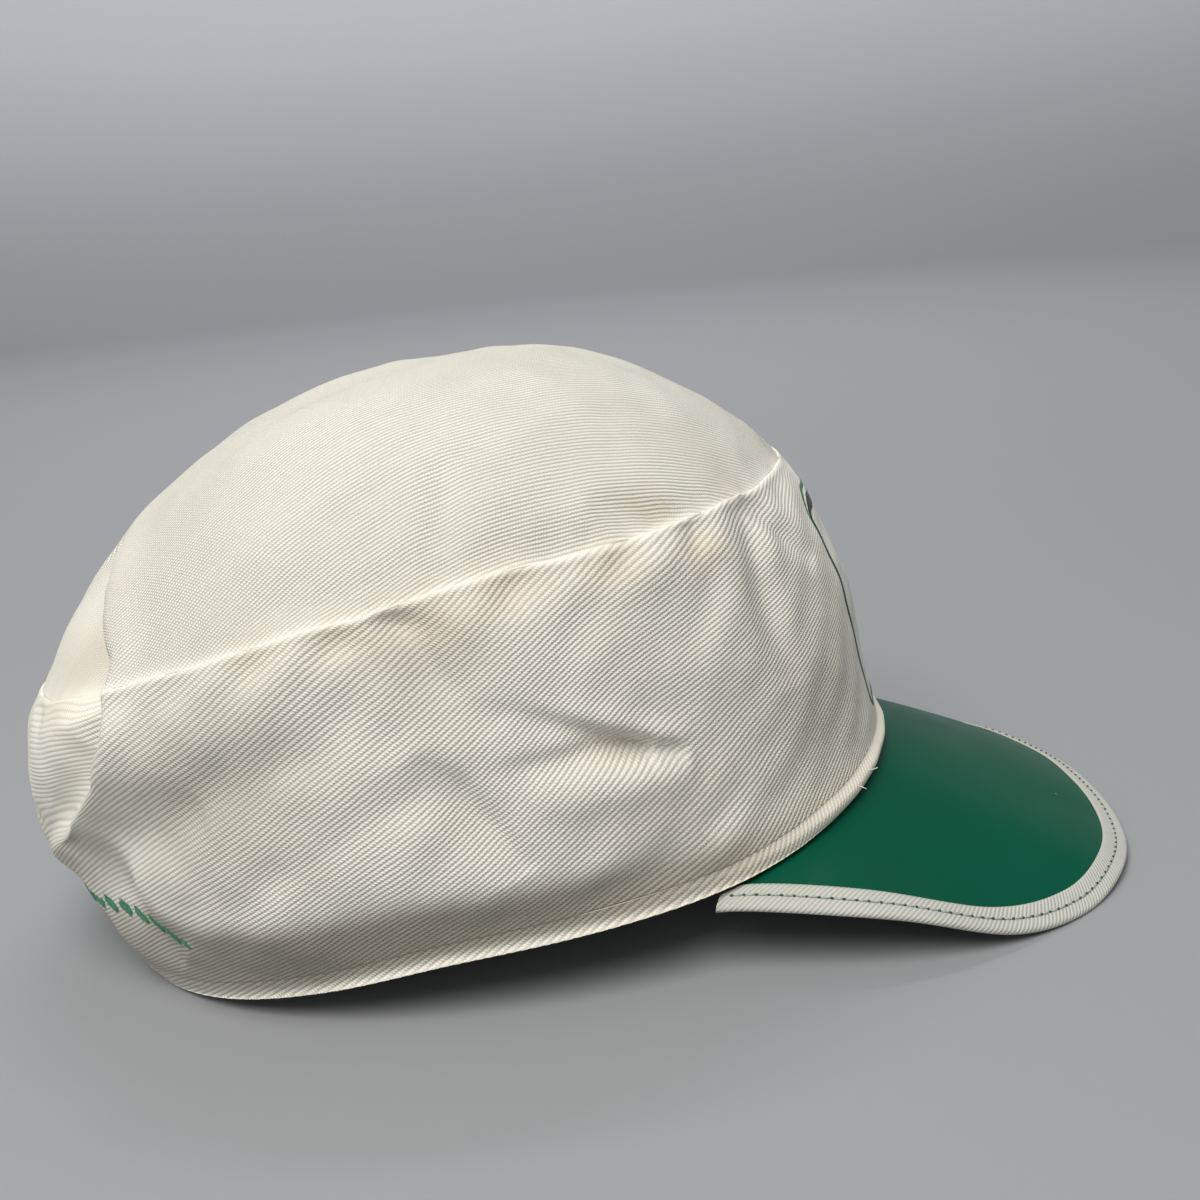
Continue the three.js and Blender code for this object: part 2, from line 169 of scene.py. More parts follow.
# Faint yellowing: angle, level, radius in millimetres, strength
stains = [
    (-88, -0.07, 10, 0.8), (-78, -0.04, 8, 0.9), (-63, -0.05, 8, 0.9), (-49, -0.09, 8, 0.9),
    (-97, -0.05, 8, 0.5), (-108, -0.02, 7, 0.4), (-53, 0.04, 6, 0.8), (-36, 0.05, 9, 0.35),
    (-40, -0.95, 14, 0.6), (-58, -0.97, 14, 0.6), (-74, -0.96, 12, 0.35), (-150, 0.12, 12, 0.6),
    (-152, -0.03, 8, 0.5), (-66, -0.72, 14, 0.25), (-72, -0.5, 8, 0.4), (-148, 0.5, 16, 0.2),
    (60, -0.06, 12, 0.6), (96, -0.05, 10, 0.5), (30, -0.95, 12, 0.5), (130, -0.5, 18, 0.25),
    (170, -0.9, 18, 0.3), (80, -0.4, 12, 0.3), (10, -0.96, 12, 0.5), (-15, -0.96, 12, 0.5),
]

# Greyer patches, partly soil and partly painted shade, given in the same way
soilAndShadePatches = [
    (-150, 0.1, 16, 0.33), (-160, -0.55, 22, 0.4), (-122, -0.33, 26, 0.6), (-112, -0.5, 20, 0.2),
    (-88, -0.16, 16, 0.28), (-33, -0.6, 28, 0.42),
]

# Small forms along the edges of the band and the crown. Heights, places and widths are in mm
bandEdges = {
    "start": 4.7,
    "lip": {"height": 0.12, "place": 1.1, "width": 0.9},
    "curl": {"height": 0.35, "width": 0.9},
    "hemGroove": {"depth": 0.2, "place": 5.2, "width": 1.6},
    "backSeam": {"depth": 0.35, "width": 0.7},
    "calmBelowSeam": 7,
    "calmAboveHem": (3, 9),
}
crownEdges = {
    "groove": {"depth": 0.4, "width": 1.7},
    "gathers": {"height": 0.12, "count": 61, "drift": 2.5, "drifts": 7, "place": 3, "width": 4},
    "calmAboveSeam": 9,
    "rippleShare": 0.8,    # as a share of the band's ripples
    "lastSlope": 0.97,     # highest level at which the crown's slope is measured
}
foldStart = 2         # small creases begin this far from the seam, mm
edgeGap = 0.001       # slopes are measured no nearer the seam than this, in levels
seamGap = 1e-6        # keeps each panel's edge on its own side of the seam, in levels
# The seam wanders up and down by waves round the cap: height, count and phase
seamWobble = {"size": 0.5, "reach": 8, "waves": [(0.5, 17, 0.7), (0.3, 29, 2.1), (0.35, 11, 4.0)]}
# The cloth rounds over beside the seam, most on the two sides
seamShoulder = {
    "inset": 1.2,
    "sideInset": 0.7,
    "sideAngle": 62,
    "sideWidth": 28,
    "bandReach": 6.5,
    "crownReach": 10,
}
# Low edge, by the angle from the front: height of the crease where the cloth tucks under,
# how far it goes in there, and how far it flares out to the hem
lowEdge = {
    "angle": [0, 35, 50, 65, 84, 100, 120, 140, 160, 180],
    "crease": [10, 12, 14, 16, 19, 21, 24, 29, 26, 22],
    "tuck": [0, 0.1, 1.0, 2.2, 3.2, 3.4, 3.0, 1.6, 0.4, 0.2],
    "tuckPlace": 0.33,
    "tuckSharpness": 1.5,
    "edgeTuck": 0.45,
    "flare": [2.2, 2.5, 2.4, 1.6, 0.5, 0, 0, 1.2, 2.8, 3.0],
    "flareReach": 8,
    # The last three entries darken the cloth above the hem, more on the right side: partly soil, partly
    # painted shade under the tucked low edge
    "soilAndShadeFade": 8,
    "soilAndShade": [0, 0, 0.3, 0.7, 0.95, 1.0, 1.0, 0.8, 0.5, 0.4],
    "leftSoilAndShade": 0.5,       # as a share of the right side's
}
hemLook = {
    "reach": 4.7,
    "roundness": 0.94,
    "leastRoll": 0.35,
    "thinRoll": 1.1,       # where the solid's roll is no thicker, the hem is a plain fold
    "growth": 0.85,
    "wander": [(0.06, 23, 0), (0.05, 41, 1)],   # waves, given like the seam's
    "clearance": 0.04,
    "frontAngle": 64,      # degrees from the front, over the peak
    "frontFade": 22,
    "frontStain": 0.45,
    "frontWeave": 0.5,
    "leastHeight": ([0, 1.1, 3.2, 4.5], [0, 0.6, 1.9, 2.9]),
}

slopeStep = 0.01
mergeDistance = 1e-6
fadeSharpness = 0.6
mmPerDegree = 1.6
mmPerLevel = 80
foldCentre = np.array([-15.0, 0.0, 45.0])


def degreesFrom(angle, place):
    return (angle - place + 540) % 360 - 180


def smoothBetween(before, start, end, after, t):
    bend = 2 * before - 5 * start + 4 * end - after
    twist = 3 * start - before - 3 * end + after
    return 0.5 * (2 * start + (end - before) * t + bend * t ** 2 + twist * t ** 3)


def columnAt(name, angle):
    values = np.array(capForm[name], float)
    last = len(values) - 1
    place = np.abs(degreesFrom(angle, 0)) / 180 * last
    index = np.minimum(np.floor(place).astype(int), last - 1)

    def mirrored(i):
        i = np.abs(i)
        return values[np.where(i > last, 2 * last - i, i)]

    around = [mirrored(index + i) for i in (-1, 0, 1, 2)]
    return smoothBetween(*around, place - index)


# 1 where the distance is nothing, fading to 0 beyond the reach
def nearness(distance, reach):
    return np.exp(-(distance / reach) ** 2)


def easeIn(value):
    t = np.clip(value, 0, 1)
    return t * t * (3 - 2 * t)


def easeBetween(value, low, lowFade, high, highFade):
    return easeIn((value - low) / lowFade) * easeIn((high - value) / highFade)


# Adds up waves round the cap, each given as height, count and phase
def wavesRound(angle, waves):
    turn = np.radians(angle)
    return sum(height * np.sin(turn * count + phase) for height, count, phase in waves)


def unit(vectors):
    return vectors / np.linalg.norm(vectors, axis=-1, keepdims=True)


def signedPower(value, power):
    return np.sign(value) * np.abs(value) ** power


def ovalPoints(name, angle, height):
    oval = capForm[name]
    turn = np.radians(angle)
    x = oval["halfLength"] * signedPower(np.cos(turn), 2 / oval["squareness"])
    y = oval["halfWidth"] * signedPower(np.sin(turn), 2 / oval["squareness"])
    narrowed = y * (1 - capForm["frontNarrowing"] * x / oval["halfLength"])
    return np.stack([x - oval["back"], narrowed, height], -1)


def outwardAt(angle):
    turn = np.radians(angle)
    return unit(np.stack([np.cos(turn), capForm["sideStretch"] * np.sin(turn), 0 * turn], -1))


def smoothBand(angle, t):
    hem = ovalPoints("hemOval", angle, columnAt("hemHeight", angle))
    seam = ovalPoints("seamOval", angle, columnAt("seamHeight", angle))
    bulge = columnAt("bulge", angle) * 4 * t * (1 - t)
    return hem + (seam - hem) * t[..., None] + outwardAt(angle) * bulge[..., None]


def smoothCrown(angle, radius):
    seam = ovalPoints("seamOval", angle, columnAt("seamHeight", angle))
    middleX, middleZ = capForm["crownMiddle"]
    middle = np.array([middleX, 0, middleZ])
    points = middle + (seam - middle) * radius[..., None]
    turn = np.radians(angle)
    form = capForm["crownShoulder"]
    shoulder = form["base"] + form["lengthwise"] * np.cos(turn) + form["crosswise"] * np.cos(2 * turn)
    points[..., 2] += capForm["crownRise"] * (1 - radius ** capForm["crownFullness"]) ** shoulder
    return points


def foldOffset(angle, level, folds):
    total = np.zeros(np.broadcast(angle, level).shape)
    for fold in folds:
        path = fold["path"]
        nearest = np.full(total.shape, np.inf)
        signed = np.zeros(total.shape)
        along = np.zeros(total.shape)
        for i in range(len(path) - 1):
            runX = (path[i + 1][0] - path[i][0]) * mmPerDegree
            runY = (path[i + 1][1] - path[i][1]) * mmPerLevel
            x = degreesFrom(angle, path[i][0]) * mmPerDegree
            y = (level - path[i][1]) * mmPerLevel
            t = np.clip((runX * x + runY * y) / (runX ** 2 + runY ** 2), 0, 1)
            distance = np.hypot(x - t * runX, y - t * runY)
            closer = distance < nearest
            nearest = np.where(closer, distance, nearest)
            signed = np.where(closer, distance * np.sign(runX * y - runY * x), signed)
            along = np.where(closer, (i + t) / (len(path) - 1), along)
        along = along ** fold.get("skew", 1)
        fade = np.sin(np.pi * np.clip(along, 0, 1)) ** fadeSharpness
        width = np.where(signed > 0, fold["left"], fold["right"])
        total -= fade * fold["depth"] * nearness(signed, width)
        if "lip" in fold:
            total += fade * fold["lip"] * nearness(signed - fold["lipPlace"], fold["lipWidth"])
    return total


def foldedPoints(angle, level):
    band = smoothBand(angle, np.clip(level + 1, 0, 1))
    crown = smoothCrown(angle, np.clip(1 - level, 0, 1))
    points = np.where((level < 0)[..., None], band, crown)
    offset = foldOffset(angle, level, mainFolds)
    return points + unit(points - foldCentre) * offset[..., None]


def clothNormals(angle, level, lowest, highest):
    above = foldedPoints(angle, np.minimum(level + slopeStep, highest))
    below = foldedPoints(angle, np.maximum(level - slopeStep, lowest))
    along = foldedPoints(angle + 0.5, level) - foldedPoints(angle - 0.5, level)
    return unit(np.cross(along, above - below))


# Gentle waves in the cloth, the same on every run
rippleRandom = np.random.default_rng(clothLook["rippleSeed"])
rippleWaves = []
for wavelength, height, count in clothLook["ripples"]:
    for _ in range(count):
        direction = unit(rippleRandom.normal(size=3) * np.array([1.0, 1.0, 1.4]))
        length = wavelength * rippleRandom.uniform(0.75, 1.3)
        phase = rippleRandom.uniform(0, 2 * math.pi)
        rippleWaves.append((direction * 2 * math.pi / length, phase, height))


def rippleHeight(points):
    total = np.zeros(points.shape[:-1])
    for wave, phase, height in rippleWaves:
        total += height * np.sin(points @ wave + phase)
    return total


def puckerHeight(angle, below):
    form = puckerForm
    dent = nearness(below - form["place"], form["reach"])
    pillow = form["pillow"] * nearness(below - form["pillowPlace"], form["pillowReach"])
    total = np.zeros(np.broadcast(angle, below).shape)
    for place, depth, halfWidth, slant in puckers:
        x = degreesFrom(angle, place) * mmPerDegree + slant * (below - form["pivot"])
        total -= depth * nearness(x, halfWidth) * dent
        total += depth * nearness(np.abs(x) - 2 * halfWidth, halfWidth) * pillow
    return total


def settle(points):
    c = math.cos(math.radians(capForm["rest"]["pitch"]))
    s = math.sin(math.radians(capForm["rest"]["pitch"]))
    x = points[..., 0] * c - points[..., 2] * s + capForm["rest"]["forward"]
    z = points[..., 0] * s + points[..., 2] * c + capForm["rest"]["lift"]
    return np.stack([x, points[..., 1], z], -1)


def bandDepth(angle):
    return columnAt("seamHeight", angle) - columnAt("hemHeight", angle)


def levelAbove(angle, up):
    return -1 + up / bandDepth(angle)


def lowEdgeAt(name, angle):
    return np.interp(np.abs(degreesFrom(angle, 0)), lowEdge["angle"], lowEdge[name])


# How far the cloth stands out near the hem, where it tucks under at the sides and flares in front
def lowEdgeOffset(angle, aboveHem):
    share = np.clip(aboveHem / lowEdgeAt("crease", angle), 0, 1)
    place = share ** lowEdge["tuckPlace"]
    bend = np.sin(np.pi * place) ** lowEdge["tuckSharpness"]
    bend = np.where(place < 0.5, lowEdge["edgeTuck"] + (1 - lowEdge["edgeTuck"]) * bend, bend)
    flare = lowEdgeAt("flare", angle) * nearness(aboveHem, lowEdge["flareReach"])
    return flare - lowEdgeAt("tuck", angle) * bend


def shoulderInset(angle, distance, reach):
    fromSide = np.abs(degreesFrom(angle, 0)) - seamShoulder["sideAngle"]
    side = nearness(fromSide, seamShoulder["sideWidth"])
    inset = seamShoulder["inset"] + seamShoulder["sideInset"] * side
    return outwardAt(angle) * (inset * nearness(distance, reach))[..., None]


def hemThickness(angle):
    roll = (columnAt("hemRoll", angle) - hemLook["thinRoll"]) * hemLook["growth"]
    return np.maximum(roll, hemLook["leastRoll"])


# Raises a face by its small forms, rounds it over beside the seam and lets the seam wander
def raiseFace(points, normals, height, angle, distance, reach):
    points = points + normals * height[..., None] - shoulderInset(angle, distance, reach)
    wobble = seamWobble["size"] * wavesRound(angle, seamWobble["waves"])
    points[..., 2] += wobble * nearness(distance, seamWobble["reach"])
    return points


# The band's outer face with all its creases, and the direction it faces
def bandFace(angle, level):
    depth = bandDepth(angle)
    below = -level * depth
    aboveHem = depth - below
    points = foldedPoints(angle, level)
    normals = clothNormals(angle, level, -1, -edgeGap)
    height = foldOffset(angle, level, fineFolds) * easeIn(below / foldStart)
    height += puckerHeight(angle, below)
    hemStart, hemFade = bandEdges["calmAboveHem"]
    calm = easeIn(below / bandEdges["calmBelowSeam"]) * easeIn((aboveHem - hemStart) / hemFade)
    height += rippleHeight(points) * calm
    lip, curl = bandEdges["lip"], bandEdges["curl"]
    height += lip["height"] * nearness(below - lip["place"], lip["width"])
    height -= curl["height"] * np.clip(1 - below / curl["width"], 0, 1) ** 2
    groove, backSeam = bandEdges["hemGroove"], bandEdges["backSeam"]
    sunk = nearness(aboveHem - groove["place"], groove["width"]) * easeIn(hemThickness(angle) - 1)
    height -= groove["depth"] * sunk
    height -= backSeam["depth"] * nearness(degreesFrom(angle, 180) * mmPerDegree, backSeam["width"])
    points = raiseFace(points, normals, height, angle, below, seamShoulder["bandReach"])
    points += outwardAt(angle) * lowEdgeOffset(angle, aboveHem)[..., None]
    return points, normals


def crownFace(angle, level, above):
    points = foldedPoints(angle, level)
    normals = clothNormals(angle, np.minimum(level, crownEdges["lastSlope"]), edgeGap, 1)
    height = foldOffset(angle, level, fineFolds) * easeIn(above / foldStart)
    calm = easeIn(above / crownEdges["calmAboveSeam"])
    height += rippleHeight(points) * calm * crownEdges["rippleShare"]
    groove, gathers = crownEdges["groove"], crownEdges["gathers"]
    height -= groove["depth"] * nearness(above, groove["width"])
    turn = np.radians(angle)
    drift = gathers["drift"] * np.sin(turn * gathers["drifts"])
    wave = np.sin(turn * gathers["count"] + drift)
    height += gathers["height"] * wave * nearness(above - gathers["place"], gathers["width"])
    points = raiseFace(points, normals, height, angle, above, seamShoulder["crownReach"])
    return points, normals


# Faces of a closed wall between an outer and an inner grid of points, [column, row]
def wallFaces(columns, outerRows, innerRows, isRing):
    uvColumns = columns + 1 if isRing else columns
    span = np.arange(uvColumns - 1)

    def build(count):
        def outer(column, row):
            return column % count * outerRows + row

        def inner(column, row):
            return count * outerRows + column % count * innerRows + row

        def quads(a, b, c, d):
            return np.stack(np.broadcast_arrays(a, b, c, d), -1).reshape(-1, 4)

        here, there = span[:, None], span[:, None] + 1
        up, inUp = np.arange(outerRows - 1), np.arange(innerRows - 1)
        top, inTop = outerRows - 1, innerRows - 1
        faces = [
            quads(outer(here, up), outer(there, up), outer(there, up + 1), outer(here, up + 1)),
            quads(inner(here, inUp), inner(here, inUp + 1), inner(there, inUp + 1), inner(there, inUp)),
            quads(inner(span, 0), inner(span + 1, 0), outer(span + 1, 0), outer(span, 0)),
            quads(outer(span, top), outer(span + 1, top), inner(span + 1, inTop), inner(span, inTop)),
        ]
        if not isRing:
            end = count - 1
            faces.append(quads(inner(0, up), outer(0, up), outer(0, up + 1), inner(0, up + 1)))
            faces.append(quads(outer(end, up), inner(end, up), inner(end, up + 1), outer(end, up + 1)))
        return np.concatenate(faces)

    return build(columns), build(uvColumns)


def addObject(name, data):
    made = bpy.data.objects.new(name, data)
    scene.collection.objects.link(made)
    return made


# One mesh piece from settled outer and inner grids in millimetres. uvs are grids in millimetres
# on the flat cloth, and tone holds stain, soil with painted shade, and weave strength for each
# outer point. A ring's last column repeats its first, and is left out
def wallPiece(name, outer, inner, isRing, outerUv, innerUv, tone=None):
    if isRing:
        outer, inner = outer[:-1], inner[:-1]
    faces, uvFaces = wallFaces(outer.shape[0], outer.shape[1], inner.shape[1], isRing)
    points = np.concatenate([outer.reshape(-1, 3), inner.reshape(-1, 3)]) / 1000
    uvs = np.concatenate([outerUv.reshape(-1, 2), innerUv.reshape(-1, 2)])
    mesh = bpy.data.meshes.new(name)
    mesh.from_pydata(points.tolist(), [], faces.tolist())
    layer = mesh.uv_layers.new(name="cloth")
    layer.data.foreach_set("uv", uvs[uvFaces.ravel()].ravel())
    if tone is not None:
        plain = np.tile(clothLook["innerTone"], (inner.shape[0] * inner.shape[1], 1))
        colours = np.concatenate([tone[:len(outer)].reshape(-1, 3), plain])
        colours = np.concatenate([colours, np.ones((len(colours), 1))], 1)
        layer = mesh.color_attributes.new("tone", "FLOAT_COLOR", "POINT")
        layer.data.foreach_set("color", colours.ravel())
    bm = bmesh.new()
    bm.from_mesh(mesh)
    bmesh.ops.remove_doubles(bm, verts=bm.verts, dist=mergeDistance)
    bm.to_mesh(mesh)
    bm.free()
    mesh.shade_smooth()
    return addObject(name, mesh)


def arcLength(points, axis):
    steps = np.linalg.norm(np.diff(points, axis=axis), axis=-1)
    start = np.zeros_like(np.take(steps, [0], axis=axis))
    return np.concatenate([start, np.cumsum(steps, axis=axis)], axis=axis)


# Turns lengths round and up the cloth into lengths along and across its diagonal ribs
def waleUv(round, up, degrees):
    c, s = math.cos(math.radians(degrees)), math.sin(math.radians(degrees))
    return np.stack([round * c + up * s, up * c - round * s], -1)


# Where the tone changes, and how much. Each edge of the lobe behind the deep rear fold is
# followed by the width of its fade
toneLook = {
    "lobeAngles": (-178, 14, -138, 10),
    "lobeLevels": (-0.5, 0.2, 0.4, 0.35),
    "lobeLoss": 0.35,      # the loss is in the weave's strength
    "frontLoss": 0.55,
    "frontReach": 28,
    "seamLoss": 0.5,
    "seamReach": 1.4,
    "patchFlatness": 1.6,
    # Below this edge the cloth above the hem is not darkened by the soil and painted shade
    "undarkenedEdge": (0.5, 3),     # mm above the hem, and its fade
    "crownWeave": 1.25,
}


def lobeShare(angle, level):
    share = easeBetween(angle, *toneLook["lobeAngles"])
    return share * easeBetween(level, *toneLook["lobeLevels"])


def patchesAt(patches, angle, level):
    total = np.zeros(angle.shape)
    for place, height, radius, strength in patches:
        x = degreesFrom(angle, place) * mmPerDegree
        y = (level - height) * mmPerLevel * toneLook["patchFlatness"]
        total = np.maximum(total, strength * nearness(np.hypot(x, y), radius))
    return total


# Stain, soil with painted shade, and weave strength at each point of the cloth
def toneOf(angle, level):
    stain = patchesAt(stains, angle, level)
    # Darker above the hem: partly soil, partly painted shade
    up = (level + 1) * bandDepth(angle)
    low = easeBetween(up, *toneLook["undarkenedEdge"], lowEdgeAt("crease", angle), lowEdge["soilAndShadeFade"])
    low = low * (level < 0)
    right = easeIn(0.5 - np.sin(np.radians(angle)))
    low = lowEdgeAt("soilAndShade", angle) * low * (lowEdge["leftSoilAndShade"] + (1 - lowEdge["leftSoilAndShade"]) * right)
    soilAndShade = np.maximum(low, patchesAt(soilAndShadePatches, angle, level))
    front = np.exp(-(degreesFrom(angle, 0) / toneLook["frontReach"]) ** 4) * (level < 0)
    weave = 1 - toneLook["frontLoss"] * front
    weave *= 1 - toneLook["lobeLoss"] * lobeShare(angle, level)
    weave *= 1 - toneLook["seamLoss"] * nearness(level * mmPerLevel, toneLook["seamReach"])
    weave = np.where(level > 0, weave * toneLook["crownWeave"], weave)
    return np.stack([stain, soilAndShade, weave], -1)


columns = clothLook["columns"]
ringAngles = np.linspace(-180, 180, columns + 1)[:, None]

# How the twill's diagonal ribs run. Lengths are in mm, and turns are shares of a length
ribLook = {
    "pitch": 1.12,                 # distance between two ribs
    "bandAngle": 20.5,
    "crownAngle": 20,
    "crownScale": 1.1,
    "lowLevels": (-0.05, 0.5),     # start and fade
    "highLevels": (-0.7, 0.6),
    "sideTurn": 0.08,              # they stand steeper on the two sides, most of all low down
    "lowTurn": 0.08,
    "sideReach": 55,
    "sideAngles": (-80, 80),
    "frontAngles": (-64, 64),      # towards the front they lie further apart, most of all low down
    "frontReach": 34,
    "frontMiddle": 24,
    "frontSpread": 0.24,
    "frontHighShare": 0.4,
    "highStart": (-150, 14),       # high on the right they lie flatter: length from the front, fade
    "highTurn": 0.08,
    "frontHemTurn": (0.38, 0.3),   # on the roll in front they turn steeper, round and up
    "lobeDrift": 0.1,
    "lobeMiddle": -140,
}


def columnOf(angle):
    return round((angle + 180) / 360 * columns)


def bandUv(lengthRound, lengthUp, level):
    uv = waleUv(lengthRound, lengthUp, ribLook["bandAngle"])
    lowStart, lowFade = ribLook["lowLevels"]
    low = easeIn((lowStart - level) / lowFade)
    reach = ribLook["sideReach"]
    for angle in ribLook["sideAngles"]:
        away = lengthRound - lengthRound[columnOf(angle)]
        uv[..., 1] -= ribLook["sideTurn"] * reach * np.tanh(away / reach)
        uv[..., 1] -= ribLook["lowTurn"] * low * away * nearness(away, reach)
    slope = math.sin(math.radians(ribLook["bandAngle"]))
    lowShare = ribLook["frontHighShare"] + (1 - ribLook["frontHighShare"]) * low
    for angle in ribLook["frontAngles"]:
        away = lengthRound - lengthRound[columnOf(angle)]
        middle = ribLook["frontMiddle"] - lengthRound[columnOf(angle), 0] * slope
        near = nearness(away, ribLook["frontReach"]) * lowShare
        uv[..., 1] += (middle - uv[..., 1]) * ribLook["frontSpread"] * near
    start, width = ribLook["highStart"]
    ramp = np.logaddexp(0, (lengthRound - start) / width) * width * easeIn(1 - lengthRound / -start)
    highStart, highFade = ribLook["highLevels"]
    uv[..., 1] += ribLook["highTurn"] * easeIn((level - highStart) / highFade) * ramp
    return uv


def makeBand():
    t = np.linspace(0, 1, clothLook["bandRows"])
    t = t - clothLook["bandCrowding"] * np.sin(2 * np.pi * t) / (2 * np.pi)
    angle, t = np.broadcast_arrays(ringAngles, t)
    lowest = levelAbove(angle, bandEdges["start"])
    level = lowest * (1 - t) - seamGap
    points, normals = bandFace(angle, level)
    smooth = foldedPoints(angle, level)
    lengthRound = arcLength(smooth, 0)
    lengthRound = lengthRound - lengthRound[columnOf(0)]
    uv = bandUv(lengthRound, arcLength(smooth, 1), level)
    fromLobe = lengthRound - lengthRound[columnOf(ribLook["lobeMiddle"])]
    uv[..., 1] += ribLook["lobeDrift"] * fromLobe * lobeShare(angle, level)
    inner = points - normals * clothLook["wall"]
    inner[:, 0] = points[:, 0] - outwardAt(angle)[:, 0] * clothLook["wall"]
    inner = inner[:, ::2]
    innerUv = waleUv(arcLength(inner, 0), arcLength(inner, 1), -ribLook["bandAngle"])
    tone = toneOf(angle, level)
    return wallPiece("band_cloth", settle(points), settle(inner), True, uv, innerUv, tone)


def makeCrown():
    t = np.linspace(0, 1, clothLook["crownRows"]) ** clothLook["crownCrowding"]
    angle, level = np.broadcast_arrays(ringAngles, t)
    above = arcLength(foldedPoints(angle, level + seamGap), 1)
    points, normals = crownFace(angle, np.minimum(level + seamGap, 1), above)
    points[:, -1] = points[:, -1].mean(0)
    fromMiddle = (above[:, -1:] - above) * ribLook["crownScale"]
    seam = ovalPoints("seamOval", angle, 0 * angle)
    turn = np.arctan2(seam[..., 1], seam[..., 0] - capForm["crownMiddle"][0])
    uv = waleUv(fromMiddle * np.cos(turn), fromMiddle * np.sin(turn), ribLook["crownAngle"])
    inner = (points - normals * clothLook["wall"])[:, ::3]
    inner[:, -1] = inner[:, -1].mean(0)
    innerUv = inner[..., :2]
    tone = toneOf(angle, level)
    return wallPiece("crown_cloth", settle(points), settle(inner), True, uv, innerUv, tone)


def makeHem():
    t = np.linspace(0, 1, clothLook["hemRows"])
    up = hemLook["reach"] * (1 - np.cos(np.pi * t)) / 2
    place = up / hemLook["reach"] * 2 - 1
    lower = np.sqrt(1 - (place * hemLook["roundness"]) ** 2)
    roll = np.where(place < 0, lower, np.cos(place * np.pi / 2) ** 2)
    angle, up = np.broadcast_arrays(ringAngles, up)
    level = levelAbove(angle, up)
    outward = outwardAt(angle)
    thickness = hemThickness(angle) * (1 + wavesRound(angle, hemLook["wander"])) * roll
    face = foldedPoints(angle, level)
    lengthRound = arcLength(face[:, -1:], 0) + 0 * up
    face = face + outward * lowEdgeOffset(angle, up)[..., None]
    outer = settle(face + outward * (thickness + hemLook["clearance"])[..., None])
    inner = settle(face - outward * clothLook["wall"])[:, ::3]
    least = np.interp(up, *hemLook["leastHeight"])
    outer[..., 2] = np.maximum(outer[..., 2], least)
    inner[..., 2] = np.maximum(inner[..., 2], least[:, ::3])
    # The ribs run on from the band's
    lengthRound = lengthRound - lengthRound[columnOf(0)]
    lengthUp = arcLength(outer, 1)
    lengthUp = lengthUp - lengthUp[:, -1:]
    uv = bandUv(lengthRound, lengthUp, level)
    front = easeIn((hemLook["frontAngle"] - np.abs(angle)) / hemLook["frontFade"])
    roundTurn, upTurn = ribLook["frontHemTurn"]
    steps = np.diff(lengthRound, axis=0) * front[1:] * roundTurn
    uv[1:, :, 1] -= np.cumsum(steps, axis=0)
    uv[..., 1] -= lengthUp * front * upTurn
    tone = toneOf(angle, level)
    tone[..., 0] += (hemLook["frontStain"] - tone[..., 0]) * front
    tone[..., 2] *= 1 - hemLook["frontWeave"] * front
    return wallPiece("hem_cloth", outer, inner, True, uv, uv[:, ::3], tone)


# Peak, as in the part: its bound edge, the line where it is sewn in, and the face between them
peakForm = {
    "reach": 163.2,
    "halfWidth": 88.5,
    "squareness": 2.65,
    "cornerTuck": (0.13, 7),
    "cornerAngle": 64,
    "edgeHeights": [-18.2, -19.4, -18.9, -19.5, -15.8, -4.6, 3.2],
    "crown": (0.5, 2.8, 6),
    "rootTuck": 1.0,
    "rootDrop": (0.4, 2.3, 8),
    "wall": 0.9,
    "droop": 1.15,         # the sheet and tape are thinner than the solids, so the edge lies lower
    "leastDepth": 0.08,
}
peakLook = {"columns": 200, "rows": 44, "underTape": 0.9}
tapeLook = {
    "width": 7.0,
    "columns": 320,
    "thickness": 0.5,
    "clearance": 0.05,
    "waleAngle": 48,
    "stitchInset": 3.5,
    "stitchSink": 0.16,
    "sinkReach": 0.8,
    "flatPoints": 9,
    "foldPoints": 13,
}


def peakEdge(along):
    power = 2 / peakForm["squareness"]
    turn = along * np.pi / 2
    cornerX = capForm["hemOval"]["halfLength"] * math.cos(math.radians(peakForm["cornerAngle"]))
    x = cornerX + (peakForm["reach"] - cornerX) * np.abs(np.cos(turn)) ** power
    share, sharpness = peakForm["cornerTuck"]
    tuck = 1 - share * np.abs(along) ** sharpness
    y = peakForm["halfWidth"] * signedPower(np.sin(turn), power) * tuck
    heights = np.array(peakForm["edgeHeights"])
    last = len(heights) - 1
    place = np.abs(along) * last
    index = np.minimum(np.floor(place).astype(int), last - 1)
    heights = np.append(heights, 2 * heights[-1] - heights[-2])
    around = [heights[np.abs(index + i)] for i in (-1, 0, 1, 2)]
    return np.stack([x, y, smoothBetween(*around, place - index)], -1)


def peakRoot(along):
    angle = along * peakForm["cornerAngle"]
    root = foldedPoints(angle, -1 + 0 * angle) - outwardAt(angle) * peakForm["rootTuck"]
    middle, corner, sharpness = peakForm["rootDrop"]
    root[..., 2] -= middle + (corner - middle) * np.abs(along) ** sharpness
    return root


def peakPoints(along, depth):
    root, edge = peakRoot(along), peakEdge(along)
    points = root + (edge - root) * depth[..., None]
    middle, side, sharpness = peakForm["crown"]
    crown = (middle + (side - middle) * along ** 2) * (1 - np.abs(along) ** sharpness)
    points[..., 2] += crown * 4 * depth * (1 - depth) - peakForm["droop"] * depth ** 2
    return points


def peakNormals(along, depth):
    left = peakPoints(np.minimum(along + slopeStep, 1), depth)
    right = peakPoints(np.maximum(along - slopeStep, -1), depth)
    nearer = peakPoints(along, np.maximum(depth - slopeStep, 0))
    farther = peakPoints(along, np.minimum(depth + slopeStep, 1))
    return unit(np.cross(left - right, nearer - farther))


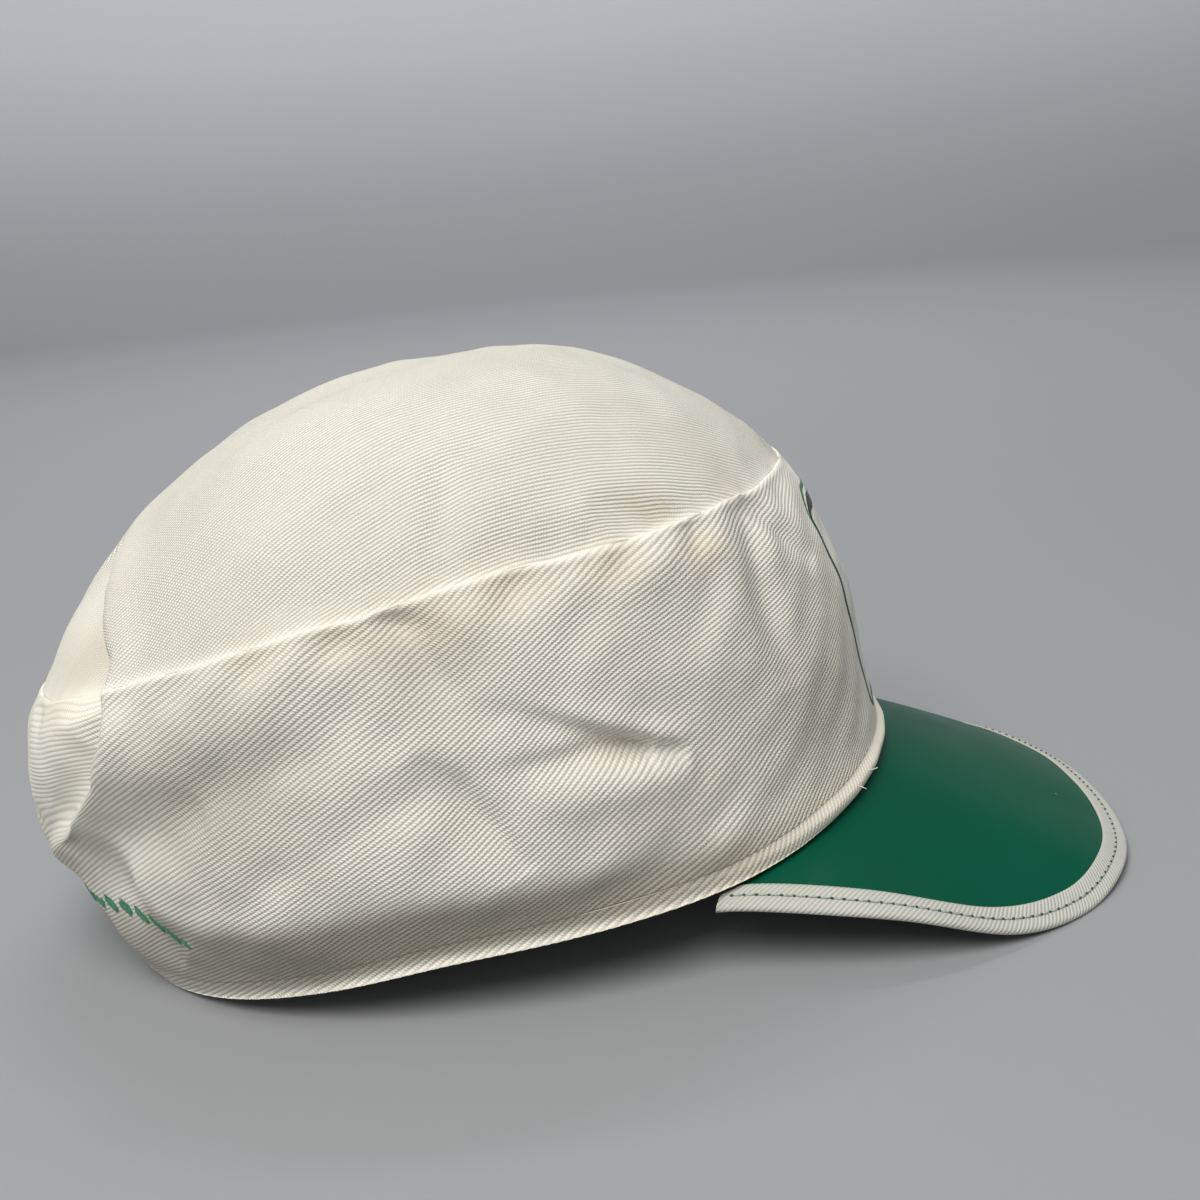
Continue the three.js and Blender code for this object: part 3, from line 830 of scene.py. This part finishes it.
def depthInside(along, inset):
    run = peakPoints(along, 1 + 0 * along) - peakPoints(along, 0 * along)
    left = peakEdge(np.minimum(along + slopeStep, 1))
    tangent = unit(left - peakEdge(np.maximum(along - slopeStep, -1)))
    length = np.linalg.norm(run, axis=-1)
    squareness = np.linalg.norm(np.cross(run / length[..., None], tangent), axis=-1)
    return np.maximum(1 - inset / squareness / length, peakForm["leastDepth"])


def peakAt(along, inset, height):
    depth = depthInside(along, inset)
    points = settle(peakPoints(along, depth) + peakNormals(along, depth) * height[..., None])
    points[..., 2] = np.maximum(points[..., 2], 0)
    return points


def makePeak():
    along = np.linspace(-1, 1, peakLook["columns"])[:, None]
    along, t = np.broadcast_arrays(along, np.linspace(0, 1, peakLook["rows"]))
    depth = depthInside(along, peakLook["underTape"] + 0 * along) * (1 - t)
    points = peakPoints(along, depth)
    normals = peakNormals(along, depth)
    top, bottom = settle(points), settle(points - normals * peakForm["wall"])
    uv = np.stack([arcLength(top, 0), arcLength(top, 1)], -1)
    return wallPiece("peak_sheet", top, bottom, False, uv, uv)


# Section of the folded tape from its under edge, round the peak's edge, to its top edge. offset is
# the depth below the tape's own outer face
def tapeSection(offset):
    reach = peakForm["wall"] / 2 + tapeLook["clearance"] + tapeLook["thickness"]
    radius = reach - offset
    flat = np.linspace(1, 0, tapeLook["flatPoints"])[:-1] * (tapeLook["width"] - reach)
    turn = np.linspace(-np.pi / 2, np.pi / 2, tapeLook["foldPoints"])
    inset = np.concatenate([flat, -radius * np.cos(turn), flat[::-1]]) + reach
    height = np.concatenate([flat * 0 - radius, radius * np.sin(turn), flat * 0 + radius])
    return inset, height - peakForm["wall"] / 2


def makeTape():
    along = np.linspace(-1, 1, tapeLook["columns"])[:, None]
    outerInset, outerHeight = tapeSection(0)
    innerInset, innerHeight = tapeSection(tapeLook["thickness"])
    sink = nearness(outerInset - tapeLook["stitchInset"], tapeLook["sinkReach"])
    side = np.sign(outerHeight + peakForm["wall"] / 2)
    outerHeight = outerHeight - side * sink * tapeLook["stitchSink"]
    grids = []
    uvs = []
    for inset, height in ((outerInset, outerHeight), (innerInset, innerHeight)):
        grid = peakAt(*np.broadcast_arrays(along, inset, height))
        fold = len(inset) // 2
        edge = grid[:, fold:fold + 1]
        slide = np.sum((grid - edge) * unit(np.gradient(edge, axis=0)), -1)
        lengthRound, lengthUp = np.broadcast_arrays(
            arcLength(edge, 0) + slide, arcLength(np.stack([inset, height], -1), 0)
        )
        grids.append(grid)
        uvs.append(waleUv(lengthRound, lengthUp, tapeLook["waleAngle"]))
    tone = np.broadcast_to(clothLook["plainTone"], grids[0].shape)
    return wallPiece("peak_tape", *grids, False, *uvs, tone)


band = makeBand()
crown = makeCrown()
hem = makeHem()
peak = makePeak()
tape = makeTape()
print("main pieces made:", [len(piece.data.polygons) for piece in (band, crown, hem, peak, tape)])

# Plain frame line on the front of the band, two flat lines with nothing inside
frontFrame = {
    "halfWidth": 28.5,       # in mm on the cloth, from the middle of the front
    "top": -0.09,
    "bottom": -0.9,
    "corner": 9,
    "cornerPoints": 13,
    "points": 480,
    "acrossPoints": 6,
    "edgeRounding": 0.12,
    "topStart": 9,
    "topFade": 8.5,
    "thickness": 0.3,
    "green": {"lift": 0.07, "inset": 0.3, "topInset": 0.3, "width": 0.6, "topWidth": 1.2},
    "black": {"lift": 0.16, "inset": 0.85, "topInset": 2.8, "width": 1.05, "topWidth": 3.0},
}


# Counterclockwise loop with round corners and its directions inwards, at even steps
def roundedLoop(halfHeight):
    corner = frontFrame["corner"]
    arcs = []
    for quarter in range(4):
        turn = (quarter + np.linspace(0, 1, frontFrame["cornerPoints"])) * np.pi / 2
        side = np.sign([np.cos(turn.mean()), np.sin(turn.mean())])
        centre = side * (frontFrame["halfWidth"] - corner, halfHeight - corner)
        arcs.append(centre + corner * np.stack([np.cos(turn), np.sin(turn)], -1))
    corners = np.concatenate(arcs + [arcs[0][:1]])
    length = arcLength(corners, 0)
    place = np.linspace(0, length[-1], frontFrame["points"] + 1)
    loop = np.stack([np.interp(place, length, corners[:, axis]) for axis in (0, 1)], -1)
    run = unit(np.roll(loop[:-1], -1, 0) - np.roll(loop[:-1], 1, 0))
    run = np.concatenate([run, run[:1]])
    return loop, np.stack([-run[:, 1], run[:, 0]], -1)


def makeFrameLine(name, look):
    middle = (frontFrame["top"] + frontFrame["bottom"]) / 2
    halfHeight = (frontFrame["top"] - frontFrame["bottom"]) / 2 * mmPerLevel
    loop, inward = roundedLoop(halfHeight)
    top = easeIn((loop[:, 1:] - halfHeight + frontFrame["topStart"]) / frontFrame["topFade"])
    width = look["width"] + (look["topWidth"] - look["width"]) * top
    inset = look["inset"] + (look["topInset"] - look["inset"]) * top
    across = inset + width * np.linspace(0, 1, frontFrame["acrossPoints"])
    place = loop[:, None] + inward[:, None] * across[..., None]
    points, normals = bandFace(place[..., 0] / mmPerDegree, middle + place[..., 1] / mmPerLevel)
    edge = frontFrame["edgeRounding"]
    turn = np.linspace(edge, np.pi - edge, frontFrame["acrossPoints"])
    outer = points + normals * look["lift"] * np.sqrt(np.sin(turn))[:, None]
    inner = points + normals * (look["lift"] - frontFrame["thickness"])
    return wallPiece(name, settle(outer), settle(inner), True, place, place)


greenLine = makeFrameLine("front_line_green", frontFrame["green"])
blackLine = makeFrameLine("front_line_black", frontFrame["black"])
print("front frame lines made")


def srgb(red, green, blue):
    def linear(value):
        value = value / 255
        return value / 12.92 if value <= 0.04045 else ((value + 0.055) / 1.055) ** 2.4

    return (linear(red), linear(green), linear(blue), 1)


# Small helpers to write node trees in few lines. A value is a number, a colour or a socket
class Nodes:
    def __init__(self, tree):
        self.tree = tree

    def add(self, kind, **settings):
        node = self.tree.nodes.new(kind)
        for key, value in settings.items():
            setattr(node, key, value)
        return node

    def put(self, socket, value):
        if hasattr(value, "is_linked"):
            self.tree.links.new(value, socket)
        else:
            socket.default_value = value

    def feed(self, node, **values):
        for name, value in values.items():
            self.put(node.inputs[name], value)
        return node

    def math(self, operation, first, second=0.0, third=0.0):
        node = self.add("ShaderNodeMath", operation=operation)
        for socket, value in zip(node.inputs, (first, second, third)):
            self.put(socket, value)
        return node.outputs[0]


class MaterialNodes(Nodes):
    def __init__(self, name):
        self.material = bpy.data.materials.new(name)
        self.material.use_nodes = True
        super().__init__(self.material.node_tree)
        self.tree.nodes.clear()
        self.surface = self.add("ShaderNodeBsdfPrincipled")
        self.feed(self.add("ShaderNodeOutputMaterial"), Surface=self.surface.outputs[0])
        self.place = self.add("ShaderNodeTexCoord").outputs["Object"]

    def noise(self, scale, detail=2.0):
        node = self.add("ShaderNodeTexNoise")
        return self.feed(node, Vector=self.place, Scale=scale, Detail=detail).outputs["Fac"]

    def range(self, value, low, high, start=0.0, end=1.0):
        node = self.add("ShaderNodeMapRange", interpolation_type="SMOOTHSTEP")
        for socket, entry in zip(node.inputs, (value, low, high, start, end)):
            self.put(socket, entry)
        return node.outputs[0]

    def mix(self, share, first, second):
        node = self.feed(self.add("ShaderNodeMix", data_type="RGBA"), Factor=share)
        colours = [socket for socket in node.inputs if socket.type == "RGBA"]
        for socket, value in zip(colours, (first, second)):
            self.put(socket, value)
        return [socket for socket in node.outputs if socket.type == "RGBA"][0]

    def bump(self, height, distance, strength):
        node = self.add("ShaderNodeBump")
        self.feed(node, Height=height, Distance=distance, Strength=strength)
        self.feed(self.surface, Normal=node.outputs[0])

    def finish(self, colour, roughness, **others):
        self.put(self.surface.inputs["Base Color"], colour)
        self.put(self.surface.inputs["Roughness"], roughness)
        for key, value in others.items():
            self.surface.inputs[key.replace("_", " ")].default_value = value
        return self.material


def twillMaterial(name, look):
    n = MaterialNodes(name)

    def wave(place):
        return n.math("MULTIPLY_ADD", n.math("SINE", n.math("MULTIPLY", place, 2 * math.pi)), 0.5, 0.5)

    def sway(scale, size):
        return n.math("MULTIPLY", n.math("SUBTRACT", n.noise(scale), 0.5), size)

    uv = n.add("ShaderNodeUVMap", uv_map="cloth").outputs[0]
    along, across, _ = n.feed(n.add("ShaderNodeSeparateXYZ"), Vector=uv).outputs
    tone = n.add("ShaderNodeAttribute", attribute_name="tone").outputs["Color"]
    stain, soilAndShade, weave = n.feed(n.add("ShaderNodeSeparateColor"), Color=tone).outputs
    wander = n.math("ADD", sway(*look["wander"]), sway(*look["jitter"]))
    rib = n.math("DIVIDE", n.math("ADD", across, wander), look["pitch"])
    ridge = n.math("POWER", wave(rib), look["roundness"])
    shift = n.math("MULTIPLY", rib, look["floatShift"])
    floats = wave(n.math("ADD", n.math("DIVIDE", along, look["floatPitch"]), shift))
    floats = n.math("MULTIPLY_ADD", floats, look["floatDepth"], 1 - look["floatDepth"])
    yarn = n.math("MULTIPLY", ridge, floats)
    height = n.math("MULTIPLY_ADD", n.noise(look["fibreScale"], 3), look["fibre"], yarn)
    n.bump(height, look["depth"], n.math("MULTIPLY", weave, look["strength"]))
    # Painted shade: the colour darkens in the grooves between the ribs, by the weave's strength
    groove = n.math("SUBTRACT", 1.0, n.range(yarn, 0.0, look["grooveTop"]))
    groove = n.math("MULTIPLY", n.math("MULTIPLY", groove, weave), look["grooveShadeShare"])
    mottle = n.range(n.noise(look["mottleScale"], 3), *look["mottleRange"])
    colour = n.mix(mottle, look["colour"], look["mottled"])
    colour = n.mix(n.math("MULTIPLY", stain, look["stainShare"]), colour, look["stain"])
    # Soil and painted shade: grey-brown mixed in by the tone's second channel
    colour = n.mix(n.math("MULTIPLY", soilAndShade, look["soilAndShadeShare"]), colour, look["soilAndShade"])
    colour = n.mix(groove, colour, look["groove"])
    return n.finish(colour, look["finish"], Sheen_Weight=look["sheen"], Specular_IOR_Level=look["gloss"])


# Pitches and sizes are in millimetres, and depth in metres. Wander and jitter hold the scale of
# the noise, then its size
twillLook = {
    "pitch": ribLook["pitch"],
    "wander": (52, 0.9),
    "jitter": (1100, 0.3),
    "roundness": 0.75,
    "floatPitch": 0.82,
    "floatShift": 0.5,
    "floatDepth": 0.6,
    "fibre": 0.4,
    "fibreScale": 3600,
    "depth": 0.0004,
    "strength": 0.76,
    # The groove entries paint shade into the grooves between the ribs
    "grooveTop": 0.55,
    "grooveShadeShare": 0.58,
    "mottleScale": 34,
    "mottleRange": (0.35, 0.65),
    "stainShare": 0.5,
    # Share of the soil and painted shade
    "soilAndShadeShare": 0.9,
    "colour": srgb(240, 237, 225),
    "mottled": srgb(233, 230, 217),
    "stain": srgb(222, 203, 166),
    # Grey-brown of the soil and painted shade
    "soilAndShade": srgb(140, 134, 116),
    # Colour of the painted shade in the grooves between the ribs
    "groove": srgb(166, 162, 146),
    "finish": 0.93,
    "sheen": 0.12,
    "gloss": 0.25,
}
tapeWeave = dict(
    twillLook,
    pitch=0.95,
    wander=(52, 0.15),
    jitter=(1100, 0.08),
    floatPitch=0.8,
    floatDepth=0.2,
    fibre=0.3,
    depth=0.0002,
    grooveShadeShare=0.6,
    stainShare=0,
    colour=srgb(195, 195, 186),
    mottled=srgb(189, 189, 180),
    # Colour of the painted shade in the tape's grooves
    groove=srgb(143, 144, 134),
)
vinylLook = {
    "light": srgb(0, 82, 59),
    "dark": srgb(0, 75, 54),
    "dust": srgb(190, 215, 205),
    "dustScale": 95,
    "dustSize": 0.022,
    "dustShare": 0.82,
    "dustStrength": 0.6,
    "grain": (1500, 90),
    "grainDepth": 0.0004,
    "grainStrength": 0.05,
    "cloudScale": 18,
    "glossScale": 26,
    "noiseRange": (0.3, 0.7),
    "roughness": (0.32, 0.4),
    "gloss": 0.14,
}
# Threads, print and the dark dashes of painted shade at the tape's needle holes: light colour, dark
# colour, roughness, sheen
threadLooks = {
    "tape_thread": (srgb(184, 190, 176), srgb(132, 144, 128), 0.6, 0.2),
    # Painted shade inside the needle holes
    "tape_hole_shade": (srgb(76, 96, 80), srgb(44, 64, 52), 0.8, 0),
    "green_satin": (srgb(34, 132, 88), srgb(10, 88, 58), 0.45, 0.2),
    "green_print": (srgb(14, 116, 76), srgb(6, 92, 60), 0.7, 0.1),
    "black_print": (srgb(44, 45, 44), srgb(22, 23, 23), 0.7, 0.1),
    "loose_thread": (srgb(250, 250, 246), srgb(236, 235, 229), 0.8, 0.2),
}
threadGrain = {"scale": 2600, "depth": 0.00012, "strength": 0.7, "range": (0.35, 0.7)}


def vinylMaterial():
    look = vinylLook
    n = MaterialNodes("green_vinyl")
    fine, coarse = [n.noise(scale) for scale in look["grain"]]
    n.bump(n.math("MULTIPLY_ADD", fine, 0.5, coarse), look["grainDepth"], look["grainStrength"])
    specks = n.feed(n.add("ShaderNodeTexVoronoi"), Vector=n.place, Scale=look["dustScale"]).outputs
    near = n.math("LESS_THAN", specks["Distance"], look["dustSize"])
    chosen = n.feed(n.add("ShaderNodeSeparateColor"), Color=specks["Color"]).outputs[0]
    rare = n.math("GREATER_THAN", chosen, look["dustShare"])
    clouds = n.range(n.noise(look["cloudScale"]), *look["noiseRange"])
    colour = n.mix(clouds, look["light"], look["dark"])
    dusty = n.math("MULTIPLY", n.math("MULTIPLY", near, rare), look["dustStrength"])
    colour = n.mix(dusty, colour, look["dust"])
    roughness = n.range(n.noise(look["glossScale"], 3), *look["noiseRange"], *look["roughness"])
    return n.finish(colour, roughness, Specular_IOR_Level=look["gloss"])


def threadMaterial(name):
    light, dark, roughness, sheen = threadLooks[name]
    n = MaterialNodes(name)
    strands = n.noise(threadGrain["scale"], 3)
    n.bump(strands, threadGrain["depth"], threadGrain["strength"])
    colour = n.mix(n.range(strands, *threadGrain["range"]), dark, light)
    return n.finish(colour, roughness, Sheen_Weight=sheen)


def dress(piece, material, nodes):
    piece.data.materials.clear()
    piece.data.materials.append(material)
    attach(piece, "root")
    if nodes:
        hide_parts(*nodes)


twill = twillMaterial("cotton_twill", twillLook)
tapeCloth = twillMaterial("binding_tape", tapeWeave)
vinyl = vinylMaterial()
dress(band, twill, ["side_band"])
dress(crown, twill, ["crown_top"])
dress(hem, twill, ["hem_roll"])
dress(peak, vinyl, ["peak"])
dress(tape, tapeCloth, ["peak_binding"])
dress(greenLine, threadMaterial("green_print"), [])
dress(blackLine, threadMaterial("black_print"), [])
print("main materials ready")


# Geometry Nodes tree that lays a small rounded stitch along each point's own direction
def makeStitchTree():
    tree = bpy.data.node_groups.new("stitches", "GeometryNodeTree")
    kinds = {
        "Points": "Geometry",
        "Thickness": "Float",
        "Slack": "Float",
        "Seed": "Int",
        "Thread": "Material",
    }
    for name, kind in kinds.items():
        tree.interface.new_socket(name, in_out="INPUT", socket_type="NodeSocket" + kind)
    tree.interface.new_socket("Stitches", in_out="OUTPUT", socket_type="NodeSocketGeometry")
    n = Nodes(tree)

    def attribute(name, kind):
        node = n.add("GeometryNodeInputNamedAttribute", data_type=kind)
        return n.feed(node, Name=name).outputs["Attribute"]

    given = n.add("NodeGroupInput").outputs
    ball = n.feed(n.add("GeometryNodeMeshUVSphere"), Segments=8, Rings=6, Radius=0.5)
    turn = n.add("FunctionNodeAlignRotationToVector", axis="X")
    n.feed(turn, Vector=attribute("stitchDirection", "FLOAT_VECTOR"))
    vary = n.feed(n.add("FunctionNodeRandomValue", data_type="FLOAT"), Seed=given["Seed"])
    n.put(vary.inputs[2], n.math("SUBTRACT", 1.0, given["Slack"]))
    n.put(vary.inputs[3], n.math("ADD", 1.0, given["Slack"]))
    length = n.math("MULTIPLY", attribute("stitchLength", "FLOAT"), vary.outputs[1])
    size = n.add("ShaderNodeCombineXYZ")
    n.feed(size, X=length, Y=given["Thickness"], Z=given["Thickness"])
    place = n.add("GeometryNodeInstanceOnPoints")
    n.feed(place, Points=given["Points"], Instance=ball.outputs["Mesh"])
    n.feed(place, Rotation=turn.outputs["Rotation"], Scale=size.outputs[0])
    real = n.feed(n.add("GeometryNodeRealizeInstances"), Geometry=place.outputs["Instances"])
    smooth = n.feed(n.add("GeometryNodeSetShadeSmooth"), Geometry=real.outputs["Geometry"])
    dye = n.feed(n.add("GeometryNodeSetMaterial"), Material=given["Thread"])
    n.feed(dye, Geometry=smooth.outputs["Geometry"])
    n.feed(n.add("NodeGroupOutput"), Stitches=dye.outputs["Geometry"])
    return tree


stitchTree = makeStitchTree()


# Stitches between pairs of settled start and end points in millimetres
def sewStitches(name, starts, ends, look, material, slot):
    runs = ends - starts
    lengths = np.linalg.norm(runs, axis=-1)
    points = bpy.data.meshes.new(name + "_points")
    points.from_pydata(((starts + ends) / 2 / 1000).tolist(), [], [])
    directions = points.attributes.new("stitchDirection", "FLOAT_VECTOR", "POINT")
    directions.data.foreach_set("vector", (runs / lengths[:, None]).ravel())
    points.attributes.new("stitchLength", "FLOAT", "POINT").data.foreach_set("value", lengths / 1000)
    holder = addObject(name + "_points", points)
    modifier = holder.modifiers.new("stitches", "NODES")
    modifier.node_group = stitchTree
    values = {
        "Thickness": look["thickness"] / 1000,
        "Slack": look["slack"],
        "Seed": look["seed"],
        "Thread": material,
    }
    for socket in stitchTree.interface.items_tree:
        if socket.name in values:
            modifier[socket.identifier] = values[socket.name]
    made = holder.evaluated_get(bpy.context.evaluated_depsgraph_get())
    piece = addObject(name, bpy.data.meshes.new_from_object(made))
    piece.data.name = name
    bpy.data.objects.remove(holder)
    dress(piece, material, [])


tapeSeam = {
    "spacing": 2.9,
    "length": 2.2,
    "thickness": 0.56,
    "slack": 0.12,
    "seed": 3,
    "height": 0.18,
    "lowest": 0.45,        # stitches nearer the floor than this are left out, mm
    "samples": 3000,
}
# Dark dashes at the needle holes stand for the shade inside them
tapeHoleShade = {"length": 0.9, "thickness": 0.64, "slack": 0.25, "seed": 4}


# The row of stitches that holds the tape, on its top and under it, with dark dashes of painted shade at
# its needle holes
def sewTape():
    along = np.linspace(-1, 1, tapeSeam["samples"])
    inset = tapeLook["stitchInset"] + 0 * along
    starts, ends, holeStarts, holeEnds = [], [], [], []
    topHeight = tapeLook["clearance"] + tapeLook["thickness"] - tapeLook["stitchSink"]
    for height in (topHeight, -topHeight - peakForm["wall"]):
        line = peakAt(along, inset, height + 0 * along)
        lift = peakAt(along, inset, height + math.copysign(1, height) + 0 * along) - line
        line = line + lift * tapeSeam["height"]
        distance = arcLength(line, 0)
        holes = np.arange(tapeSeam["spacing"], distance[-1] - tapeSeam["spacing"], tapeSeam["spacing"])
        for gap, length, first, last in (
            (tapeSeam["spacing"] / 2, tapeSeam["length"], starts, ends),
            (0, tapeHoleShade["length"], holeStarts, holeEnds),
        ):
            for end, found in ((-0.5, first), (0.5, last)):
                where = holes + gap + end * length
                places = [np.interp(where, distance, line[:, axis]) for axis in range(3)]
                found.append(np.stack(places, -1))
    for name, first, last, look, thread in (
        ("tape_stitches", starts, ends, tapeSeam, "tape_thread"),
        ("tape_hole_shade", holeStarts, holeEnds, tapeHoleShade, "tape_hole_shade"),
    ):
        first, last = np.concatenate(first), np.concatenate(last)
        clear = np.minimum(first[:, 2], last[:, 2]) > tapeSeam["lowest"]
        sewStitches(name, first[clear], last[clear], look, threadMaterial(thread), "tape")


# Satin stitched wave across the low back, in place of any wording: height of its middle by the
# angle from the back, and the size of its stitches
backWave = {
    "angle": [0, 15, 32, 36, 45],
    "level": [-0.65, -0.66, -0.7, -0.73, -0.785],
    "spacing": 0.62,
    "least": 0.8,
    "most": 4.6,
    "gap": 0.2,
    "endFade": 1.5,
    "endSwell": 0.3,
    "waveLength": 5.5,
    "slant": -0.7,
    "thickness": 0.4,
    "slack": 0.18,
    "seed": 8,
    "height": 0.12,
}


def sewBackWave():
    half = backWave["angle"][-1]
    count = int(2 * half * mmPerDegree / backWave["spacing"])
    offset = np.linspace(-half, half, count)
    along = offset * mmPerDegree
    level = np.interp(np.abs(offset), backWave["angle"], backWave["level"])
    swell = 0.5 + 0.5 * np.sin(along / backWave["waveLength"] * 2 * math.pi + math.pi / 3)
    fade = easeIn((half - np.abs(offset)) / backWave["endFade"])
    swell *= fade * (1 - backWave["endSwell"]) + backWave["endSwell"]
    kept = swell > backWave["gap"]
    reach = (backWave["least"] + (backWave["most"] - backWave["least"]) * swell) / 2
    ends = []
    for side in (-1, 1):
        angle = 180 + offset + side * reach * backWave["slant"] / mmPerDegree
        points, normals = bandFace(angle, level + side * reach / mmPerLevel)
        ends.append(settle(points + normals * backWave["height"])[kept])
    sewStitches("back_wave", *ends, backWave, threadMaterial("green_satin"), "twill")


# Two short loose threads at the front of the hem: angle and a path of steps in millimetres
looseThreads = {
    "thickness": 0.2,
    "slack": 0.0,
    "seed": 1,
    "up": 2.2,
    "overlap": 0.25,
    "paths": [
        (-29, [(-0.2, 0.1, 0.1), (0.7, -0.5, 0.1), (0.6, -0.4, 0.3), (0.4, -0.1, 0.2)]),
        (-34, [(-0.2, 0.1, 0), (0.6, -0.6, -0.1), (0.6, -0.4, -0.3), (0.4, 0.1, -0.2)]),
    ],
}


def addLooseThreads():
    starts, ends = [], []
    for angle, steps in looseThreads["paths"]:
        angle = np.array([float(angle)])
        up = np.array([looseThreads["up"]])
        out = lowEdgeOffset(angle, up) + hemThickness(angle)
        place = foldedPoints(angle, levelAbove(angle, up)) + outwardAt(angle) * out[..., None]
        place = settle(place)[0]
        for step in steps:
            step = np.array(step)
            starts.append(place - looseThreads["overlap"] * step)
            place = place + step
            ends.append(place + looseThreads["overlap"] * step)
    material = threadMaterial("loose_thread")
    sewStitches("loose_threads", np.array(starts), np.array(ends), looseThreads, material, "twill")


sewTape()
sewBackWave()
addLooseThreads()
print("stitches and threads made")

# Camera at the photograph's place, given on the level cap and laid down with it
cameraLook = {
    "target": (32.49, 0, 59.07),
    "azimuth": -3.0,
    "elevation": 15.62,
    "roll": 8.92,
    "distance": 415.96,
    "lens": 46.24,
    "sensor": 36,
    "nearest": 0.01,
}


def makeCamera():
    turns = [cameraLook[key] for key in ("azimuth", "elevation", "roll")]
    azimuth, elevation, roll = map(math.radians, turns)
    back = np.array([
        math.sin(azimuth) * math.cos(elevation),
        -math.cos(azimuth) * math.cos(elevation),
        math.sin(elevation),
    ])
    place = settle(np.array(cameraLook["target"]) + back * cameraLook["distance"]) / 1000
    side = unit(np.cross([0, 0, 1], back))
    up = np.cross(back, side)
    axes = np.array([
        side * math.cos(roll) - up * math.sin(roll),
        side * math.sin(roll) + up * math.cos(roll),
        back,
    ])
    axes = settle(axes) - settle(np.zeros(3))
    data = bpy.data.cameras.new("photo_camera")
    data.lens = cameraLook["lens"]
    data.sensor_width = cameraLook["sensor"]
    data.clip_start = cameraLook["nearest"]
    camera = addObject("photo_camera", data)
    camera.matrix_world = Matrix.Translation(Vector(place)) @ Matrix(axes.T.tolist()).to_4x4()
    scene.camera = camera


# Pale floor that curves up into a wall all round
stageLook = {
    "floorRadius": 2.2,
    "wallRadius": 3.0,
    "wallHeight": 2.4,
    "segments": 96,
    "bendPoints": 13,
    "rings": (0.25, 0.6, 1.2),
    "floor": srgb(148, 149, 151),
    "wall": srgb(196, 197, 200),
    "blend": (0.0, 0.7),    # height over which the floor's grey turns into the wall's, m
    "roughness": 0.9,
    "gloss": 0.1,
}


def makeStage():
    turn = np.linspace(0, 2 * np.pi, stageLook["segments"], endpoint=False)
    bend = stageLook["wallRadius"] - stageLook["floorRadius"]
    profile = [(radius, 0) for radius in stageLook["rings"]]
    for slope in np.linspace(0, np.pi / 2, stageLook["bendPoints"]):
        radius = stageLook["floorRadius"] + bend * math.sin(slope)
        profile.append((radius, bend * (1 - math.cos(slope))))
    profile.append((stageLook["wallRadius"], stageLook["wallHeight"]))
    verts = [(0, 0, 0)]
    for radius, height in profile:
        verts += [(radius * math.cos(t), radius * math.sin(t), height) for t in turn]
    count = len(turn)
    faces = [(0, 1 + i, 1 + (i + 1) % count) for i in range(count)]
    for ring in range(len(profile) - 1):
        start = 1 + ring * count
        for i in range(count):
            j = (i + 1) % count
            faces.append((start + i, start + count + i, start + count + j, start + j))
    mesh = bpy.data.meshes.new("studio_floor")
    mesh.from_pydata(verts, [], faces)
    mesh.shade_smooth()
    floor = addObject("studio_floor", mesh)
    n = MaterialNodes("studio_paper")
    height = n.feed(n.add("ShaderNodeSeparateXYZ"), Vector=n.place).outputs["Z"]
    colour = n.mix(n.range(height, *stageLook["blend"]), stageLook["floor"], stageLook["wall"])
    paper = n.finish(colour, stageLook["roughness"], Specular_IOR_Level=stageLook["gloss"])
    mesh.materials.append(paper)


# Soft lights: name, place, target, size, power in watts, colour
lights = [
    ("key", (-0.34, -0.76, 1.24), (0, 0, 0.06), 1.1, 22.5, (1, 0.985, 0.96)),
    ("fill", (-0.2, -1.7, 0.8), (0, 0, 0.06), 1.4, 4.0, (0.95, 0.975, 1)),
    ("backdrop", (0.0, 0.9, 1.9), (0.0, 3.0, 0.2), 1.2, 37, (0.96, 0.98, 1)),
]
worldLook = {"colour": (0.93, 0.96, 1.0, 1), "strength": 0.29}


def makeLights():
    for name, place, target, size, power, colour in lights:
        data = bpy.data.lights.new(name, "AREA")
        data.shape = "DISK"
        data.size = size
        data.energy = power
        data.color = colour
        light = addObject(name, data)
        light.location = place
        light.rotation_euler = (Vector(target) - Vector(place)).to_track_quat("-Z", "Y").to_euler()
    world = bpy.data.worlds.new("studio")
    world.use_nodes = True
    sky = world.node_tree.nodes["Background"]
    Nodes(world.node_tree).feed(sky, Color=worldLook["colour"], Strength=worldLook["strength"])
    scene.world = world


makeCamera()
makeStage()
makeLights()
print("camera, floor and lights ready")
